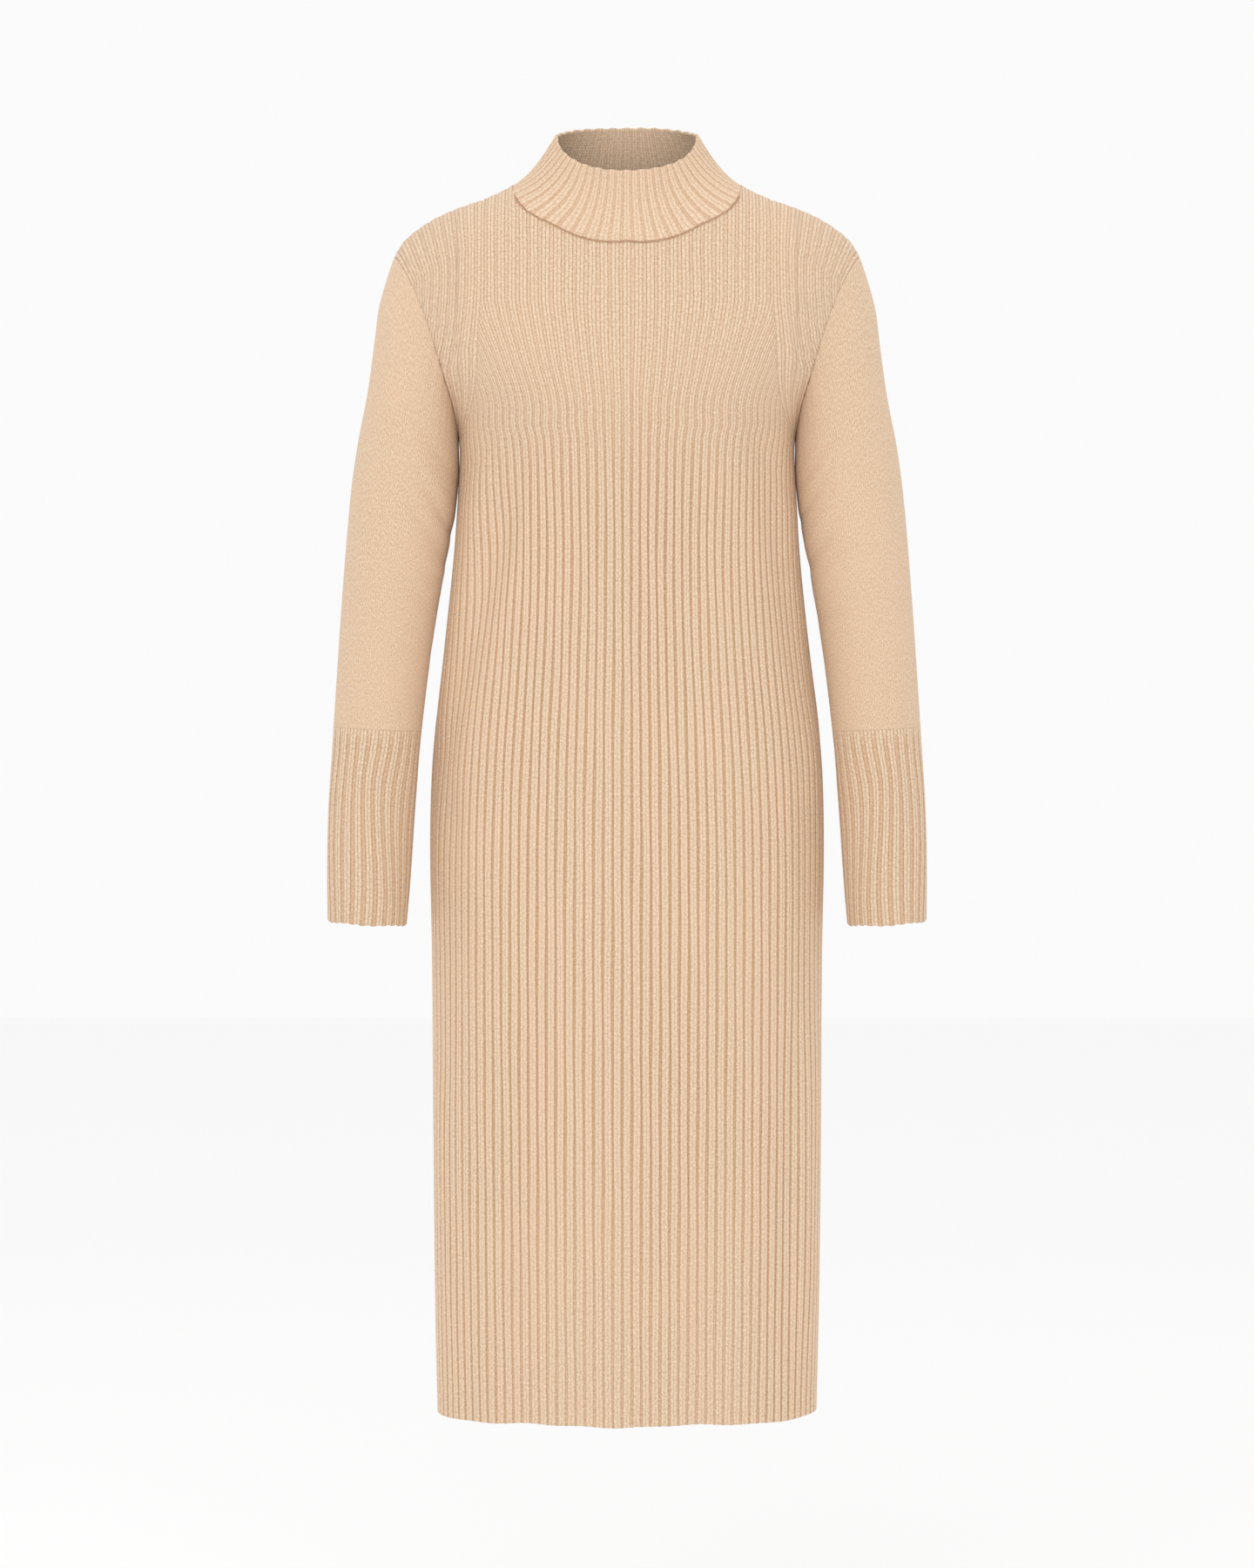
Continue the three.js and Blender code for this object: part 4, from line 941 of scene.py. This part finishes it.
def rib_stitches(tree, rib, course):
    """Two knit wales on each rib and a ladder of purl loops in its furrow.

    Returns their height and round shape, how strongly the furrow is darkened with painted shade, and how far the
    rib is stretched.
    """
    furrow = node(tree, "ShaderNodeAttribute", attribute_name="furrow").outputs[2]
    phase = math_node(tree, "PINGPONG", rib, 0.5)
    edge = math_node(tree, "SUBTRACT", 0.5, furrow)
    across = math_node(tree, "DIVIDE", phase, edge)
    height, dome = knit_wale(tree, math_node(tree, "MINIMUM", across, 1.0), course)
    into = math_node(tree, "DIVIDE", math_node(tree, "SUBTRACT", phase, edge), furrow)
    purl = math_node(tree, "SINE", math_node(tree, "MULTIPLY", math_node(tree, "MAXIMUM", into, 0.0), QUARTER_TURN))
    ladder = math_node(tree, "ADD", math_node(tree, "MULTIPLY", cosine(tree, course), 0.5), 0.5)
    rungs = math_node(tree, "MULTIPLY", purl, math_node(tree, "ADD", math_node(tree, "MULTIPLY", ladder, 0.5), 0.2))
    inside = ranged(tree, across, 0.96, 1.04)
    shade = node(tree, "ShaderNodeAttribute", attribute_name="shade").outputs[2]
    # Painted shade in the furrow, lighter on the rungs of its purl loops
    lighter = math_node(tree, "SUBTRACT", 1.0, math_node(tree, "MULTIPLY", ladder, 0.4))
    depth = math_node(tree, "MULTIPLY", math_node(tree, "MULTIPLY", inside, shade), lighter)
    pulled = ranged(tree, furrow, FURROW_AT_REST, FURROW_STRETCHED)
    return float_blend(tree, inside, height, rungs), float_blend(tree, inside, dome, purl), depth, pulled


def knit_material(name, light, dark, tint, ribbed):
    """Melange yarn in knit stitches: each wale is a column of V shapes, with painted shade in the gaps between
    wales and in the rib furrows.
    """
    material = bpy.data.materials.new(name)
    material.use_nodes = True
    tree = material.node_tree
    tree.nodes.clear()
    output = node(tree, "ShaderNodeOutputMaterial")
    shader = node(tree, "ShaderNodeBsdfPrincipled")
    link(tree, shader, 0, output, 0)
    uv = node(tree, "ShaderNodeUVMap", uv_map="knit")
    split = node(tree, "ShaderNodeSeparateXYZ")
    link(tree, uv, 0, split, 0)
    coords = node(tree, "ShaderNodeTexCoord")
    sway = noise(tree, coords, 3, 260, 2)
    uneven = math_node(tree, "MULTIPLY", math_node(tree, "SUBTRACT", sway, 0.5), 0.5)
    course = math_node(tree, "ADD", split.outputs[1], uneven)
    if ribbed:
        height, dome, depth, pulled = rib_stitches(tree, split.outputs[0], course)
    else:
        height, dome = knit_wale(tree, math_node(tree, "FRACT", split.outputs[0]), course)

    streak = node(tree, "ShaderNodeMapping")
    streak.inputs["Scale"].default_value = (5.0 if ribbed else 1.7, 0.8, 1)
    link(tree, uv, 0, streak, 0)
    fibre = noise(tree, streak, 0, 1.0, 3)
    cloud = noise(tree, coords, 3, 9, 2)
    fuzz = noise(tree, coords, 3, 900, 3)

    yarn = blend(tree, ranged(tree, fibre, 0.41, 0.61), dark, light)
    warm = blend(tree, ranged(tree, cloud, 0.4, 0.7, 0, 0.3), yarn, tint)
    # Painted shade in the gaps between wales
    gap = math_node(tree, "POWER", math_node(tree, "SUBTRACT", 1.0, dome), 2.0)
    lines = math_node(tree, "MULTIPLY", gap, 0.85 if ribbed else 0.4)
    gap_shade_tint = blend(tree, pulled, WALE_GAP_SHADE_TINT, STRETCHED_GAP_SHADE_TINT) if ribbed else WALE_GAP_SHADE_TINT
    shade = blend(tree, lines, warm, gap_shade_tint, "MULTIPLY")
    if ribbed:
        # Painted shade in the rib furrows
        shade = blend(tree, depth, shade, FURROW_SHADE_TINT, "MULTIPLY")
    tree.links.new(shade, shader.inputs["Base Color"])

    rough = math_node(tree, "ADD", height, math_node(tree, "MULTIPLY", fuzz, 0.5))
    bump = node(tree, "ShaderNodeBump")
    bump.inputs["Strength"].default_value = 0.7
    bump.inputs["Distance"].default_value = 0.0005
    tree.links.new(rough, bump.inputs["Height"])
    link(tree, bump, 0, shader, "Normal")
    shader.inputs["Roughness"].default_value = 0.88
    shader.inputs["Specular IOR Level"].default_value = 0.25
    shader.inputs["Sheen Weight"].default_value = 0.2
    shader.inputs["Sheen Roughness"].default_value = 0.5
    shader.inputs["Sheen Tint"].default_value = (1, 0.93, 0.86, 1)
    return material


def seam_material(name, light, dark):
    material = bpy.data.materials.new(name)
    material.use_nodes = True
    tree = material.node_tree
    shader = tree.nodes["Principled BSDF"]
    coords = node(tree, "ShaderNodeTexCoord")
    fibre = noise(tree, coords, 3, 700, 3)
    tree.links.new(blend(tree, ranged(tree, fibre, 0.35, 0.65), dark, light), shader.inputs["Base Color"])
    shader.inputs["Roughness"].default_value = 0.9
    return material


# The chain of stitches that joins the collar to the panels
LINK_PITCH = 3.5
LINK_LENGTH = 3.3
LINK_WIDTH = 1.7
LINK_YARN = 0.34
LINK_HEIGHT = 0.22  # above the cloth's crown at the seam, where it has turned in
LINK_BURIED = 1.3  # how much deeper it lies towards the shoulders, where it can't be seen
LINK_CORNERS = 10
YARN_SIDES = 5


def chain(name, loop, material):
    keys, points = loop
    closed = np.concatenate([points, points[:1]])
    reached = np.concatenate([[0], np.cumsum(np.linalg.norm(np.diff(closed, axis=0), axis=1))])
    count = round(reached[-1] / LINK_PITCH)
    at = (np.arange(count) + 0.5) / count * reached[-1]
    key = np.interp(at, reached, np.concatenate([keys, [FULL_TURN]]))
    share = np.full(count, 0.012)

    def place(here, turn):
        return collar_point(loop, here, turn)

    def seam(distance):
        wrapped = distance % reached[-1]
        return np.stack([np.interp(wrapped, reached, closed[:, i]) for i in range(3)], -1)

    out = surface_normal(place, share, key, 0.001)
    along = unit(seam(at + 1) - seam(at - 1))
    beside = unit(np.cross(out, along))
    twist = 0.18 * np.sin(np.arange(count) * 2.4)
    along, beside = along + beside * twist[:, None], beside - along * twist[:, None]
    size = 1 + 0.14 * np.sin(np.arange(count) * 1.7)
    turn = np.linspace(0, FULL_TURN, LINK_CORNERS, endpoint=False)
    round_yarn = np.linspace(0, FULL_TURN, YARN_SIDES, endpoint=False)
    cos, sin = np.cos(turn)[None, :, None], np.sin(turn)[None, :, None]
    length, width = (LINK_LENGTH / 2 * size)[:, None, None], (LINK_WIDTH / 2 * size)[:, None, None]
    buried = LINK_BURIED * (1 - smooth(np.abs(np.cos(key)), *NECK_ENDS))
    rise = LINK_HEIGHT - buried[:, None, None] + 0.3 * cos
    centre = (seam(at)[:, None] + along[:, None] * length * cos + beside[:, None] * width * sin
              + out[:, None] * rise)
    away = unit(along[:, None] * cos / length + beside[:, None] * sin / width)
    ring = (away[:, :, None] * np.cos(round_yarn)[None, None, :, None]
            + out[:, None, None] * np.sin(round_yarn)[None, None, :, None])
    tubes = centre[:, :, None] + ring * LINK_YARN
    cloth = Cloth()
    corners = cloth.add(tubes, (0.0, 0.0), 0.1, 0.0)
    closed_corners = np.concatenate([corners, corners[:, :1]], 1)
    closed_corners = np.concatenate([closed_corners, closed_corners[:, :, :1]], 2)
    for each in closed_corners:
        cloth.grid(each, False)
    return cloth.build(name, material, None)


def stage_material(name, colour):
    material = bpy.data.materials.new(name)
    material.use_nodes = True
    shader = material.node_tree.nodes["Principled BSDF"]
    shader.inputs["Base Color"].default_value = colour
    shader.inputs["Roughness"].default_value = 0.9
    return material


rib_knit = knit_material("rib_knit", (0.87, 0.68, 0.50, 1), (0.68, 0.495, 0.34, 1), (0.84, 0.61, 0.43, 1), True)
plain_knit = knit_material(
    "plain_knit", (0.85, 0.65, 0.465, 1), (0.66, 0.46, 0.30, 1), (0.82, 0.58, 0.41, 1), False)
seam_yarn = seam_material("seam_yarn", (0.66, 0.44, 0.28, 1), (0.47, 0.27, 0.15, 1))

front = panel("knit_front", -1, rib_knit)
back = panel("knit_back", 1, rib_knit)
armhole = armhole_loop()
neck = neck_loop()
sleeve_left = sleeve("knit_sleeve_left", armhole, CREASES_LEFT, False, plain_knit)
sleeve_right = sleeve("knit_sleeve_right", armhole, CREASES_RIGHT, True, plain_knit)
cuff_left = cuff("knit_cuff_left", armhole, False, rib_knit)
cuff_right = cuff("knit_cuff_right", armhole, True, rib_knit)
collar_piece = collar("knit_collar", neck, rib_knit)
collar_chain = chain("collar_seam_stitches", neck, seam_yarn)

# Stage
FLOOR = -1.5
bpy.ops.mesh.primitive_plane_add(size=14, location=(0, 2, FLOOR))
floor = bpy.context.object
floor.name = "floor"
floor.data.materials.append(stage_material("floor_white", (0.97, 0.97, 0.97, 1)))

scene = bpy.context.scene
scene.view_settings.view_transform = "Standard"
world = bpy.data.worlds.new("studio")
world.use_nodes = True
world.node_tree.nodes["Background"].inputs["Color"].default_value = (1, 1, 1, 1)
world.node_tree.nodes["Background"].inputs["Strength"].default_value = 0.96
scene.world = world


def area_light(name, location, aim, size, power):
    data = bpy.data.lights.new(name, "AREA")
    data.shape = "RECTANGLE"
    data.size, data.size_y = size
    data.energy = power
    lamp = bpy.data.objects.new(name, data)
    lamp.location = location
    direction = np.array(aim) - np.array(location)
    pitch = math.atan2(math.hypot(direction[0], direction[1]), -direction[2])
    lamp.rotation_euler = (pitch, 0, math.atan2(-direction[0], direction[1]))
    bpy.context.collection.objects.link(lamp)
    return lamp


area_light("key", (-0.5, -3.2, 1.7), (0, 0, -0.2), (2.0, 1.4), 27)
area_light("top", (0, 0.2, 2.4), (0, 0, -0.3), (1.6, 1.6), 5)

camera_data = bpy.data.cameras.new("camera")
camera_data.lens = 127.8
camera_data.sensor_width = 36
camera = bpy.data.objects.new("camera", camera_data)
camera.location = (0, -5.05, -0.325)
camera.rotation_euler = (math.radians(90) - math.atan2(0.209, 5.05), 0, 0)
bpy.context.collection.objects.link(camera)
scene.camera = camera
